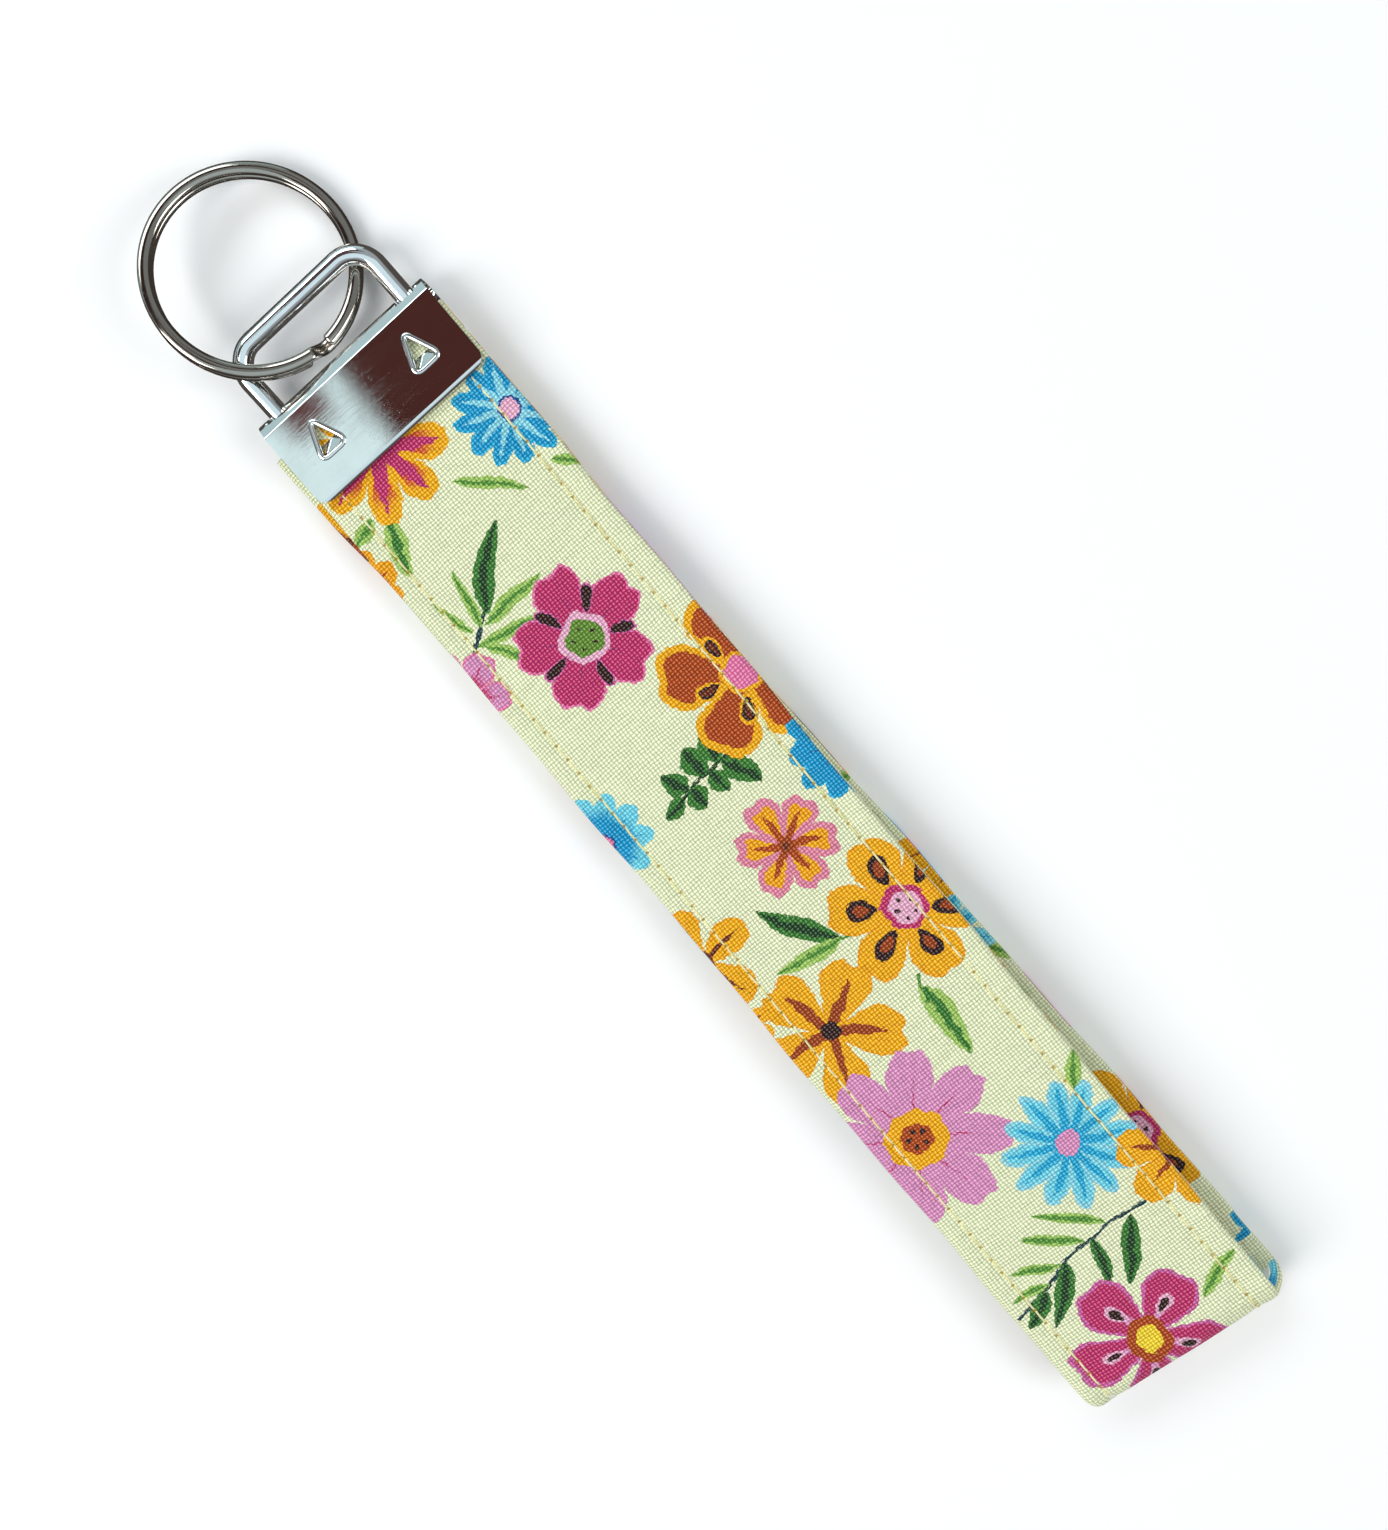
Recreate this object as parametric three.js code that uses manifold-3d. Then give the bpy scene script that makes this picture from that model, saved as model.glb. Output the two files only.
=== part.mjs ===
// A wristlet key fob: a looped fabric strap crimped in a folded metal clamp,
// a wire loop that pivots in the clamp's fold, and a split key ring threaded on it.
// Millimetres. +X across the strap, +Y from the strap's loop end towards the key ring,
// +Z up from the surface that the fob lies on.
import * as THREE from 'three';
import { mergeVertices } from 'three/addons/utils/BufferGeometryUtils.js';
import Module from 'manifold-3d';

// Clamp: one folded sheet. The fob is drawn with y = 0 near the clamp's upper edge.
const clampWidth = 25.4;
const clampLip = -10.9;
const clampThickness = 5.6;
const sheet = 0.6;
const clampMiddle = clampThickness / 2;
const lipBend = 1.0;
const lipDrop = 0.2;
const foldStart = -0.6;
const knuckleStart = 0.5;
const knuckleDrop = 0.85;
const knuckleTip = 1.4;
const plateCorner = 1.5;

// Crimp windows, two in each plate, each with the prong that was cut from it.
const windowOffset = 7.4;
const windowWidth = 3.1;
const windowApex = -3.5;
const windowBase = -7.05;
const windowCorner = 0.45;
const prongTip = 0.55;

// Wire loop
const wireDiameter = 2.4;
const legSpacing = 20;
const pivotY = -0.6;
const loopReach = 9.5;
const loopCorner = 3.3;
const barCorner = 1.5;
const loopTilt = THREE.MathUtils.degToRad(8.8);
const legSlotClearance = 0.2;
const legSlotHeight = 1.9;

// Split ring: two coils of flattened wire
const ringDiameter = 25;
const ringWire = 1.6;
const coilThickness = 1.0;
const coilPitch = 1.2;
const ringTilt = THREE.MathUtils.degToRad(15.2);
const ringX = -1.4;
const ringY = 14.5;
const ringEndGap = THREE.MathUtils.degToRad(6);
const ringStep = THREE.MathUtils.degToRad(5.2);

// Strap: a folded fabric sleeve over a stiff core, doubled back on itself
const strapWidth = 26;
const ply = 1.7;
const fabricWall = 0.5;
const coreClearance = 0.1;
const coreSideClearance = 0.4;
const seamSlit = 0.12;
const strapTop = -2.2;
const strapEnd = -152.7;
const plyGap = 0.3;
const wristGap = 4.5;
const strapRise = [-14, -132];
const strapDrop = [-11.5, -24];
const skewAtClamp = -1.4;
const skewAtEnd = 2.0;

// Topstitching
const stitchLine = 10.2;
const threadWidth = 0.4;
const threadThickness = 0.2;
const grooveWidth = 0.6;
const grooveDepth = 0.3;
const threadClearance = 0.05;

const wasm = await Module();
wasm.setup();

const chrome = { color: 0xc9ced1, roughness: 0.14, metalness: 1 };
const finish = {
  clamp: chrome,
  wireLoop: { color: 0xc2c6c8, roughness: 0.18, metalness: 1 },
  splitRing: { color: 0xb4b6b5, roughness: 0.2, metalness: 1 },
  fabric: { color: 0xe9edc8, roughness: 0.9, metalness: 0 },
  core: { color: 0xf1f0ea, roughness: 0.95, metalness: 0 },
  thread: { color: 0xe6dc7a, roughness: 0.7, metalness: 0 },
};

const object = new THREE.Group();

function toSolid(geometry) {
  const bare = geometry.index ? geometry.toNonIndexed() : geometry.clone();
  bare.deleteAttribute('normal');
  bare.deleteAttribute('uv');
  const merged = mergeVertices(bare, 1e-4);
  return new wasm.Manifold(new wasm.Mesh({
    numProp: 3,
    vertProperties: new Float32Array(merged.attributes.position.array),
    triVerts: new Uint32Array(merged.index.array),
  }));
}

function toGeometry(solid) {
  const mesh = solid.getMesh();
  const geometry = new THREE.BufferGeometry();
  geometry.setAttribute('position', new THREE.BufferAttribute(mesh.vertProperties, 3));
  geometry.setIndex(new THREE.BufferAttribute(mesh.triVerts, 1));
  geometry.computeVertexNormals();
  return geometry;
}

function addPiece(name, geometry, look, parent = object) {
  const piece = new THREE.Mesh(geometry, new THREE.MeshStandardMaterial(look));
  piece.name = name;
  parent.add(piece);
  return piece;
}

// Extrudes an outline drawn in (y, z) along +X, between two x values.
function extrudeAcross(outline, fromX, toX) {
  const geometry = new THREE.ExtrudeGeometry(outline, { depth: toX - fromX, bevelEnabled: false });
  const turn = new THREE.Matrix4().makeBasis(
    new THREE.Vector3(0, 1, 0),
    new THREE.Vector3(0, 0, 1),
    new THREE.Vector3(1, 0, 0),
  );
  geometry.applyMatrix4(turn);
  geometry.translate(fromX, 0, 0);
  return geometry;
}

// Extrudes an outline drawn in (x, y) along +Z, between two heights.
function extrudeUp(outline, fromZ, toZ) {
  const geometry = new THREE.ExtrudeGeometry(outline, {
    depth: toZ - fromZ,
    bevelEnabled: false,
    curveSegments: 5,
  });
  geometry.translate(0, 0, fromZ);
  return geometry;
}

function boxSolid(fromX, toX, fromY, toY, fromZ, toZ) {
  const geometry = new THREE.BoxGeometry(toX - fromX, toY - fromY, toZ - fromZ);
  geometry.translate((fromX + toX) / 2, (fromY + toY) / 2, (fromZ + toZ) / 2);
  return toSolid(geometry);
}

// A closed polygon with its corners rounded by arcs of one radius.
function roundedPolygon(corners, radius) {
  const shape = new THREE.Shape();
  corners.forEach((corner, index) => {
    const before = corners[(index + corners.length - 1) % corners.length];
    const after = corners[(index + 1) % corners.length];
    const into = before.clone().sub(corner).normalize().multiplyScalar(radius).add(corner);
    const out = after.clone().sub(corner).normalize().multiplyScalar(radius).add(corner);
    if (index === 0) shape.moveTo(into.x, into.y);
    else shape.lineTo(into.x, into.y);
    shape.quadraticCurveTo(corner.x, corner.y, out.x, out.y);
  });
  shape.closePath();
  return shape;
}

// --- Clamp -----------------------------------------------------------------

// Half of the folded sheet's section: from the lip, over the plate, to the fold's tip.
function plateLine(inset) {
  const face = clampMiddle - inset;
  const halfKnuckle = clampMiddle - knuckleDrop;
  const rise = knuckleTip - knuckleStart;
  const radius = (halfKnuckle ** 2 + rise ** 2) / (2 * rise);
  const centre = knuckleTip - radius;
  const sweep = Math.asin(halfKnuckle / radius);
  const line = [
    new THREE.Vector2(clampLip, face - lipDrop),
    new THREE.Vector2(clampLip + lipBend, face),
    new THREE.Vector2(foldStart - inset * 0.4, face),
  ];
  const arcSteps = 6;
  for (let step = 0; step <= arcSteps; step += 1) {
    const angle = sweep * (1 - step / arcSteps);
    line.push(new THREE.Vector2(
      centre + (radius - inset) * Math.cos(angle),
      (radius - inset) * Math.sin(angle),
    ));
  }
  return line;
}

function mirrored(line) {
  return line.slice(0, -1).reverse().map((point) => new THREE.Vector2(point.x, -point.y));
}

function clampSection() {
  const outer = plateLine(0);
  const inner = plateLine(sheet);
  const round = [...outer, ...mirrored(outer)];
  const back = [...inner, ...mirrored(inner)].reverse();
  return new THREE.Shape([...round, ...back]
    .map((point) => new THREE.Vector2(point.x, point.y + clampMiddle)));
}

function clampOutline() {
  const half = clampWidth / 2;
  const upper = knuckleTip + 1;
  const shape = new THREE.Shape();
  shape.moveTo(half, upper);
  shape.lineTo(-half, upper);
  shape.lineTo(-half, clampLip + plateCorner);
  shape.absarc(-half + plateCorner, clampLip + plateCorner, plateCorner, Math.PI, 1.5 * Math.PI);
  shape.lineTo(half - plateCorner, clampLip);
  shape.absarc(half - plateCorner, clampLip + plateCorner, plateCorner, 1.5 * Math.PI, 2 * Math.PI);
  shape.closePath();
  return shape;
}

function windowOutline(centreX, grow) {
  const half = windowWidth / 2 + grow;
  return roundedPolygon([
    new THREE.Vector2(centreX, windowApex + 1.5 * grow),
    new THREE.Vector2(centreX - half, windowBase - grow),
    new THREE.Vector2(centreX + half, windowBase - grow),
  ], windowCorner);
}

// The prong stays joined to the plate along the window's base and dips towards the fabric.
function prongSolid(centreX, side) {
  const tipY = windowApex - prongTip * 2;
  const rootY = windowBase - 0.3;
  const profile = new THREE.Shape([
    new THREE.Vector2(rootY, clampMiddle),
    new THREE.Vector2(rootY, clampMiddle - sheet),
    new THREE.Vector2(tipY, clampMiddle - sheet - 0.15),
    new THREE.Vector2(tipY, clampMiddle - 0.45),
  ]);
  const wedge = toSolid(extrudeAcross(profile, centreX - windowWidth, centreX + windowWidth));
  const trim = toSolid(extrudeUp(windowOutline(centreX, -0.22), 0, clampThickness));
  const footHalf = windowWidth / 2 - 0.55;
  const foot = boxSolid(centreX - footHalf, centreX + footHalf, rootY, windowBase + 0.5, 0, clampThickness);
  const prong = wedge.intersect(trim.add(foot));
  if (side > 0) return prong.translate([0, 0, clampMiddle]);
  return prong.mirror([0, 0, 1]).translate([0, 0, clampMiddle]);
}

function makeClamp() {
  const half = clampWidth / 2;
  let body = toSolid(extrudeAcross(clampSection(), -half, half));
  body = body.intersect(toSolid(extrudeUp(clampOutline(), -1, clampThickness + 1)));
  for (const side of [-1, 1]) {
    const leg = side * legSpacing / 2;
    const reach = wireDiameter / 2 + legSlotClearance;
    body = body.subtract(boxSolid(
      leg - reach,
      leg + reach,
      foldStart - 0.9,
      knuckleTip + 1,
      clampMiddle - legSlotHeight,
      clampMiddle + legSlotHeight,
    ));
    const centreX = side * windowOffset;
    body = body.subtract(toSolid(extrudeUp(windowOutline(centreX, 0), -1, clampThickness + 1)));
  }
  for (const side of [-1, 1]) {
    body = body.add(prongSolid(side * windowOffset, 1));
    body = body.add(prongSolid(side * windowOffset, -1));
  }
  return toGeometry(body);
}

// --- Wires -------------------------------------------------------------------

class PlanePath extends THREE.Curve {
  constructor(path) {
    super();
    this.path = path;
  }

  getPoint(t, target = new THREE.Vector3()) {
    const point = this.path.getPointAt(t);
    return target.set(point.x, point.y, 0);
  }
}

function ovalSection(halfX, halfY, sides) {
  const points = [];
  for (let side = 0; side < sides; side += 1) {
    const angle = (side + 0.5) * 2 * Math.PI / sides;
    points.push(new THREE.Vector2(halfX * Math.cos(angle), halfY * Math.sin(angle)));
  }
  return new THREE.Shape(points);
}

// The loop is one bent wire, drawn about its pivot. Its ends butt in the middle of the hidden bar.
function makeWireLoop() {
  const half = legSpacing / 2;
  const butt = 0.15;
  const path = new THREE.Path();
  path.moveTo(butt, 0);
  path.lineTo(half - barCorner, 0);
  path.absarc(half - barCorner, barCorner, barCorner, -Math.PI / 2, 0);
  path.lineTo(half, loopReach - loopCorner);
  path.absarc(half - loopCorner, loopReach - loopCorner, loopCorner, 0, Math.PI / 2);
  path.lineTo(loopCorner - half, loopReach);
  path.absarc(loopCorner - half, loopReach - loopCorner, loopCorner, Math.PI / 2, Math.PI);
  path.lineTo(-half, barCorner);
  path.absarc(barCorner - half, barCorner, barCorner, Math.PI, 1.5 * Math.PI);
  path.lineTo(-butt, 0);
  const section = ovalSection(wireDiameter / 2, wireDiameter / 2, 10);
  return new THREE.ExtrudeGeometry(section, {
    steps: 88,
    bevelEnabled: false,
    extrudePath: new PlanePath(path),
  });
}

class SplitCoil extends THREE.Curve {
  getPoint(t, target = new THREE.Vector3()) {
    const radius = (ringDiameter - ringWire) / 2;
    const turn = ringEndGap + t * (4 * Math.PI - 2 * ringEndGap);
    const crossing = THREE.MathUtils.smoothstep(turn, 2 * Math.PI - ringStep, 2 * Math.PI + ringStep);
    const start = -Math.PI / 2;
    return target.set(
      radius * Math.cos(start + turn),
      radius * Math.sin(start + turn),
      coilPitch * (0.5 - crossing),
    );
  }
}

function makeSplitRing() {
  return new THREE.ExtrudeGeometry(ovalSection(coilThickness / 2, ringWire / 2, 8), {
    steps: 144,
    bevelEnabled: false,
    extrudePath: new SplitCoil(),
  });
}

// --- Strap -------------------------------------------------------------------

const noseRadius = (wristGap + ply) / 2;
const noseCentre = strapEnd + noseRadius + ply / 2;
const plySpacing = ply + plyGap;

function ease(value, from, to) {
  const share = THREE.MathUtils.clamp((value - from) / (to - from), 0, 1);
  return share * share * (3 - 2 * share);
}

function frontHeight(y) {
  const low = clampMiddle + plySpacing / 2;
  const high = ply / 2 + 2 * noseRadius;
  return low + (high - low) * ease(y, strapRise[0], strapRise[1]);
}

function rearHeight(y) {
  const high = clampMiddle - plySpacing / 2;
  return high + (ply / 2 - high) * ease(y, strapDrop[0], strapDrop[1]);
}

// Middle line of the strap's ply in (y, z), from its front end round the nose to its rear end.
function strapStations() {
  const levels = [strapTop, -6.5, -11, -14, -17, -20, -24];
  for (let y = -30; y > noseCentre; y -= 9.5) levels.push(y);
  const front = levels.map((y) => new THREE.Vector2(y, frontHeight(y)));
  const rear = levels.map((y) => new THREE.Vector2(y, rearHeight(y))).reverse();
  const nose = [];
  const noseSteps = 12;
  for (let step = 0; step <= noseSteps; step += 1) {
    const angle = Math.PI * (0.5 + step / noseSteps);
    nose.push(new THREE.Vector2(
      noseCentre + noseRadius * Math.cos(angle),
      ply / 2 + noseRadius + noseRadius * Math.sin(angle),
    ));
  }
  return [...front, ...nose, ...rear];
}

const stations = strapStations();
const outwards = stations.map((point, index) => {
  const before = stations[Math.max(index - 1, 0)];
  const after = stations[Math.min(index + 1, stations.length - 1)];
  const along = after.clone().sub(before).normalize();
  if (index === 0 || index === stations.length - 1) return new THREE.Vector2(0, -Math.sign(along.x));
  return new THREE.Vector2(along.y, -along.x);
});

// A band that follows the strap between two heights over its middle line, and between two x values.
// endShift lengthens both of its ends, or shortens them where it is negative.
function bandSolid(fromX, toX, lower, upper, endShift = 0) {
  const section = [[fromX, lower], [toX, lower], [toX, upper], [fromX, upper]];
  const last = stations.length - 1;
  const positions = [];
  const faces = [0, 2, 1, 0, 3, 2];
  stations.forEach((point, index) => {
    const shift = index === 0 || index === last ? endShift : 0;
    for (const [x, height] of section) {
      positions.push(x, point.x + outwards[index].x * height + shift, point.y + outwards[index].y * height);
    }
  });
  for (let index = 0; index < last; index += 1) {
    for (let corner = 0; corner < 4; corner += 1) {
      const here = 4 * index + corner;
      const beside = 4 * index + (corner + 1) % 4;
      faces.push(here, beside, beside + 4, here, beside + 4, here + 4);
    }
  }
  const end = 4 * last;
  faces.push(end, end + 1, end + 2, end, end + 2, end + 3);
  const geometry = new THREE.BufferGeometry();
  geometry.setAttribute('position', new THREE.Float32BufferAttribute(positions, 3));
  geometry.setIndex(faces);
  return toSolid(geometry);
}

// The rear ply lies slightly aslant under the front one, and the loop end carries the slant round.
function skewed(solid) {
  return solid.warp((point) => {
    const middle = (frontHeight(point[1]) + rearHeight(point[1])) / 2;
    const halfGap = (frontHeight(point[1]) - rearHeight(point[1]) - ply) / 2;
    const rearShare = ease(point[2], middle + halfGap, middle - halfGap);
    const along = point[1] / strapEnd;
    point[0] += rearShare * THREE.MathUtils.lerp(skewAtClamp, skewAtEnd, along);
  });
}

function makeFabricStrip() {
  const half = strapWidth / 2;
  const cavityHalf = half - fabricWall;
  const cavityHeight = ply / 2 - fabricWall;
  const grooveFloor = ply / 2 - grooveDepth;
  let sleeve = bandSolid(-half, half, -ply / 2, ply / 2);
  sleeve = sleeve.subtract(bandSolid(-cavityHalf, cavityHalf, -cavityHeight, cavityHeight, 1));
  sleeve = sleeve.subtract(bandSolid(cavityHalf - 1, half + 1, -seamSlit / 2, seamSlit / 2, 1));
  for (const side of [-1, 1]) {
    const fromX = side * stitchLine - grooveWidth / 2;
    const toX = side * stitchLine + grooveWidth / 2;
    sleeve = sleeve.subtract(bandSolid(fromX, toX, grooveFloor, ply / 2 + 0.1, 1));
    sleeve = sleeve.subtract(bandSolid(fromX, toX, -ply / 2 - 0.1, -grooveFloor, 1));
  }
  return toGeometry(skewed(sleeve));
}

function makeCore() {
  const half = strapWidth / 2 - fabricWall - coreSideClearance;
  const height = ply / 2 - fabricWall - coreClearance;
  return toGeometry(skewed(bandSolid(-half, half, -height, height, -0.3)));
}

// The needle thread lies in the groove of the outer face, the bobbin thread in that of the inner one.
function makeThread(side, face) {
  const floor = ply / 2 - grooveDepth + threadClearance;
  const heights = [face * floor, face * (floor + threadThickness)];
  const lower = Math.min(...heights);
  const upper = Math.max(...heights);
  const fromX = side * stitchLine - threadWidth / 2;
  const toX = side * stitchLine + threadWidth / 2;
  return toGeometry(skewed(bandSolid(fromX, toX, lower, upper)));
}

// --- Assembly ------------------------------------------------------------------

addPiece('clamp', makeClamp(), finish.clamp);
addPiece('fabric_strip', makeFabricStrip(), finish.fabric);
addPiece('interfacing_core', makeCore(), finish.core);
for (const [sideName, side] of [['left', -1], ['right', 1]]) {
  addPiece(`needle_thread_${sideName}`, makeThread(side, 1), finish.thread);
  addPiece(`bobbin_thread_${sideName}`, makeThread(side, -1), finish.thread);
}

const loopPivot = new THREE.Group();
loopPivot.position.set(0, pivotY, clampMiddle);
loopPivot.rotation.x = loopTilt;
object.add(loopPivot);
addPiece('wire_loop', makeWireLoop(), finish.wireLoop, loopPivot);

// The ring's right edge rests on the surface, and its left side lies over the loop's left leg.
const ringHalfThickness = (coilPitch + coilThickness) / 2;
const ringSeat = new THREE.Group();
ringSeat.position.set(
  ringX,
  ringY,
  (ringDiameter / 2) * Math.sin(ringTilt) + ringHalfThickness * Math.cos(ringTilt),
);
ringSeat.rotation.y = ringTilt;
object.add(ringSeat);
addPiece('split_ring', makeSplitRing(), finish.splitRing, ringSeat);

// The part's origin is at the bottom centre of its box.
const wristletKeychain = new THREE.Group();
wristletKeychain.add(object);
const box = new THREE.Box3().setFromObject(wristletKeychain, true);
object.position.set(-(box.min.x + box.max.x) / 2, -(box.min.y + box.max.y) / 2, -box.min.z);

export default wristletKeychain;
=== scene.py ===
import math

import bmesh
import bpy
import numpy as np
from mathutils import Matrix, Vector


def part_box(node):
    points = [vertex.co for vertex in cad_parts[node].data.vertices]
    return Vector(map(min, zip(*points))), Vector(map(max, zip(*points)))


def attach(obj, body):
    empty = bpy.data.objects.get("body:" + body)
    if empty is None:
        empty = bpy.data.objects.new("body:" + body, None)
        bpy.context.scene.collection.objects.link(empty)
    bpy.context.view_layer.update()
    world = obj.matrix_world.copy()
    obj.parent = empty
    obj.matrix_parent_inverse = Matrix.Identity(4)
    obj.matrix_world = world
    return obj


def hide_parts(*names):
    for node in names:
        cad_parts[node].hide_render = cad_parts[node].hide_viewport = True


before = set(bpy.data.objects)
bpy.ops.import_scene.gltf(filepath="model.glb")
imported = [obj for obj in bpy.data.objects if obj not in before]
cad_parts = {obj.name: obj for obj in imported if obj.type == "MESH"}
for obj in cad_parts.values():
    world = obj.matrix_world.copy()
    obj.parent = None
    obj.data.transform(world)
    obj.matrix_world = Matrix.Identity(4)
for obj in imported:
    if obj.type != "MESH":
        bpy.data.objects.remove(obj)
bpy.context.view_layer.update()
print("frame loaded:", ", ".join(sorted(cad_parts)))

scene = bpy.context.scene
scene.view_settings.view_transform = "Standard"
clampLow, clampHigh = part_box("clamp")

# The fob is drawn in millimetres about its clamp: x across the strap, y towards the key ring, z up.
foldTip = 1.4  # the clamp's fold reaches this far past y = 0
drawingOrigin = np.array([(clampLow.x + clampHigh.x) * 500, clampHigh.y * 1000 - foldTip, 0.0])
clampThickness = (clampHigh.z - clampLow.z) * 1000
clampMiddle = clampThickness / 2


def toFrame(points):  # drawing millimetres to metres in the frame
    return (np.asarray(points, float) + drawingOrigin) * 0.001


def easing(value, start, stop):
    share = np.clip((value - start) / (stop - start), 0, 1)
    return share * share * (3 - 2 * share)


def addPiece(name, points, faces, material, smooth=True):
    mesh = bpy.data.meshes.new(name)
    mesh.from_pydata([tuple(p) for p in toFrame(points)], [], [tuple(int(i) for i in f) for f in faces])
    mesh.polygons.foreach_set("use_smooth", [smooth] * len(mesh.polygons))
    if material:
        mesh.materials.append(material)
    mesh.update()
    piece = bpy.data.objects.new(name, mesh)
    scene.collection.objects.link(piece)
    return piece


def ribbonFaces(rows, columns):  # quads of a tube whose section closes on itself
    row, column = np.meshgrid(np.arange(rows - 1), np.arange(columns), indexing="ij")
    beside = (column + 1) % columns
    here, ahead = row * columns, (row + 1) * columns
    return np.stack([here + column, ahead + column, ahead + beside, here + beside], -1).reshape(-1, 4)


def runAlong(line):  # the way along a line to each of its points
    return np.concatenate([[0], np.cumsum(np.hypot(*np.diff(line, axis=0).T))])


def headings(line):
    ahead = np.gradient(line, axis=0)
    return ahead / np.hypot(*ahead.T)[:, None]


def rightwards(ahead):  # square to a heading
    return np.stack([ahead[:, 1], -ahead[:, 0]], 1)


# Node helpers

def plug(tree, value, socket):
    if isinstance(value, bpy.types.NodeSocket):
        tree.links.new(value, socket)
    else:
        socket.default_value = value


def addNode(tree, kind, inputs=(), **settings):
    node = tree.nodes.new(kind)
    for key, value in settings.items():
        setattr(node, key, value)
    for key, value in dict(inputs).items():
        plug(tree, value, node.inputs[key])
    return node


def maths(tree, operation, *values):
    node = tree.nodes.new("ShaderNodeMath")
    node.operation = operation
    for index, value in enumerate(values):
        plug(tree, value, node.inputs[index])
    return node.outputs[0]


def times(tree, first, second):
    return maths(tree, "MULTIPLY", first, second)


def plus(tree, first, second):
    return maths(tree, "ADD", first, second)


def minus(tree, first, second):
    return maths(tree, "SUBTRACT", first, second)


def timesPlus(tree, first, second, third):
    return maths(tree, "MULTIPLY_ADD", first, second, third)


def isLess(tree, first, second):
    return maths(tree, "LESS_THAN", first, second)


def vectorMaths(tree, operation, *values, out="Vector"):
    node = tree.nodes.new("ShaderNodeVectorMath")
    node.operation = operation
    for index, value in enumerate(values):
        plug(tree, value, node.inputs[index])
    return node.outputs[out]


def mixColours(tree, share, below, above, blend="MIX"):
    node = tree.nodes.new("ShaderNodeMix")
    node.data_type = "RGBA"
    node.blend_type = blend
    node.clamp_factor = True
    plug(tree, share, node.inputs[0])
    plug(tree, below, node.inputs[6])
    plug(tree, above, node.inputs[7])
    return node.outputs[2]


def remap(tree, value, fromLow, fromHigh, toLow, toHigh, smooth=False):
    node = tree.nodes.new("ShaderNodeMapRange")
    node.interpolation_type = "SMOOTHSTEP" if smooth else "LINEAR"
    for index, given in enumerate((value, fromLow, fromHigh, toLow, toHigh)):
        plug(tree, given, node.inputs[index])
    return node.outputs[0]


def splitVector(tree, vector):
    node = addNode(tree, "ShaderNodeSeparateXYZ", {0: vector})
    return node.outputs[0], node.outputs[1]


def joinVector(tree, x, y):
    return addNode(tree, "ShaderNodeCombineXYZ", {0: x, 1: y}).outputs[0]


def noise(tree, place, scale, detail=2.0, roughness=0.5, out=0):
    settings = {"Vector": place, "Scale": scale, "Detail": detail, "Roughness": roughness}
    return addNode(tree, "ShaderNodeTexNoise", settings).outputs[out]


def wander(tree, colour, span):  # a shift of up to half the span, from a random colour
    centred = vectorMaths(tree, "SUBTRACT", colour, (0.5, 0.5, 0.5))
    return vectorMaths(tree, "MULTIPLY", centred, (span, span, 0))


def grey(tree, level):
    return addNode(tree, "ShaderNodeCombineColor", {0: level, 1: level, 2: level}).outputs[0]


def newGroup(name, sockets):
    tree = bpy.data.node_groups.new(name, "ShaderNodeTree")
    for kind, labels in sockets.items():
        for label in labels:
            tree.interface.new_socket(name=label, in_out="INPUT", socket_type="NodeSocket" + kind)
    tree.interface.new_socket(name="Colour", in_out="OUTPUT", socket_type="NodeSocketColor")
    given = tree.nodes.new("NodeGroupInput").outputs
    return tree, given, tree.nodes.new("NodeGroupOutput").inputs[0]


def useGroup(tree, group, values):
    node = tree.nodes.new("ShaderNodeGroup")
    node.node_tree = group
    for key, value in values.items():
        plug(tree, value, node.inputs[key])
    return node.outputs[0]


def newMaterial(name):
    material = bpy.data.materials.new(name)
    material.use_nodes = True
    tree = material.node_tree
    return material, tree, tree.nodes["Principled BSDF"]


def dress(tree, shader, inputs, height=None, distance=0.0, strength=0.0):
    for key, value in inputs.items():
        plug(tree, value, shader.inputs[key])
    if height is not None:
        bump = addNode(tree, "ShaderNodeBump", {"Height": height, "Distance": distance, "Strength": strength})
        tree.links.new(bump.outputs[0], shader.inputs["Normal"])


def dye(red, green, blue):  # a colour as a dyer's chart gives it, 0 to 255
    channels = [c / 255 for c in (red, green, blue)]
    return tuple(c / 12.92 if c <= 0.04045 else ((c + 0.055) / 1.055) ** 2.4 for c in channels) + (1.0,)


# Print

ground = dye(235, 240, 200)
inks = {
    "orange": dye(244, 164, 2),
    "marigold": dye(246, 174, 2),
    "rust": dye(176, 68, 14),
    "brown": dye(110, 40, 18),
    "ink": dye(48, 14, 26),
    "magenta": dye(194, 44, 108),
    "plum": dye(150, 40, 110),
    "rose": dye(222, 146, 194),
    "pink": dye(232, 120, 170),
    "blush": dye(236, 176, 205),
    "roseDeep": dye(206, 96, 162),
    "coral": dye(228, 134, 162),
    "rustDeep": dye(158, 62, 16),
    "skyDeep": dye(30, 170, 216),
    "skyPale": dye(140, 214, 232),
    "blue": dye(0, 152, 206),
    "sky": dye(112, 212, 234),
    "navy": dye(18, 78, 150),
    "ember": dye(214, 84, 44),
    "leafDark": dye(16, 62, 32),
    "leafMid": dye(54, 122, 48),
    "leaf": dye(84, 146, 56),
    "leafLight": dye(162, 200, 100),
    "teal": dye(26, 62, 72),
    "yellow": dye(248, 214, 50),
    "lime": dye(98, 140, 50),
}


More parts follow.
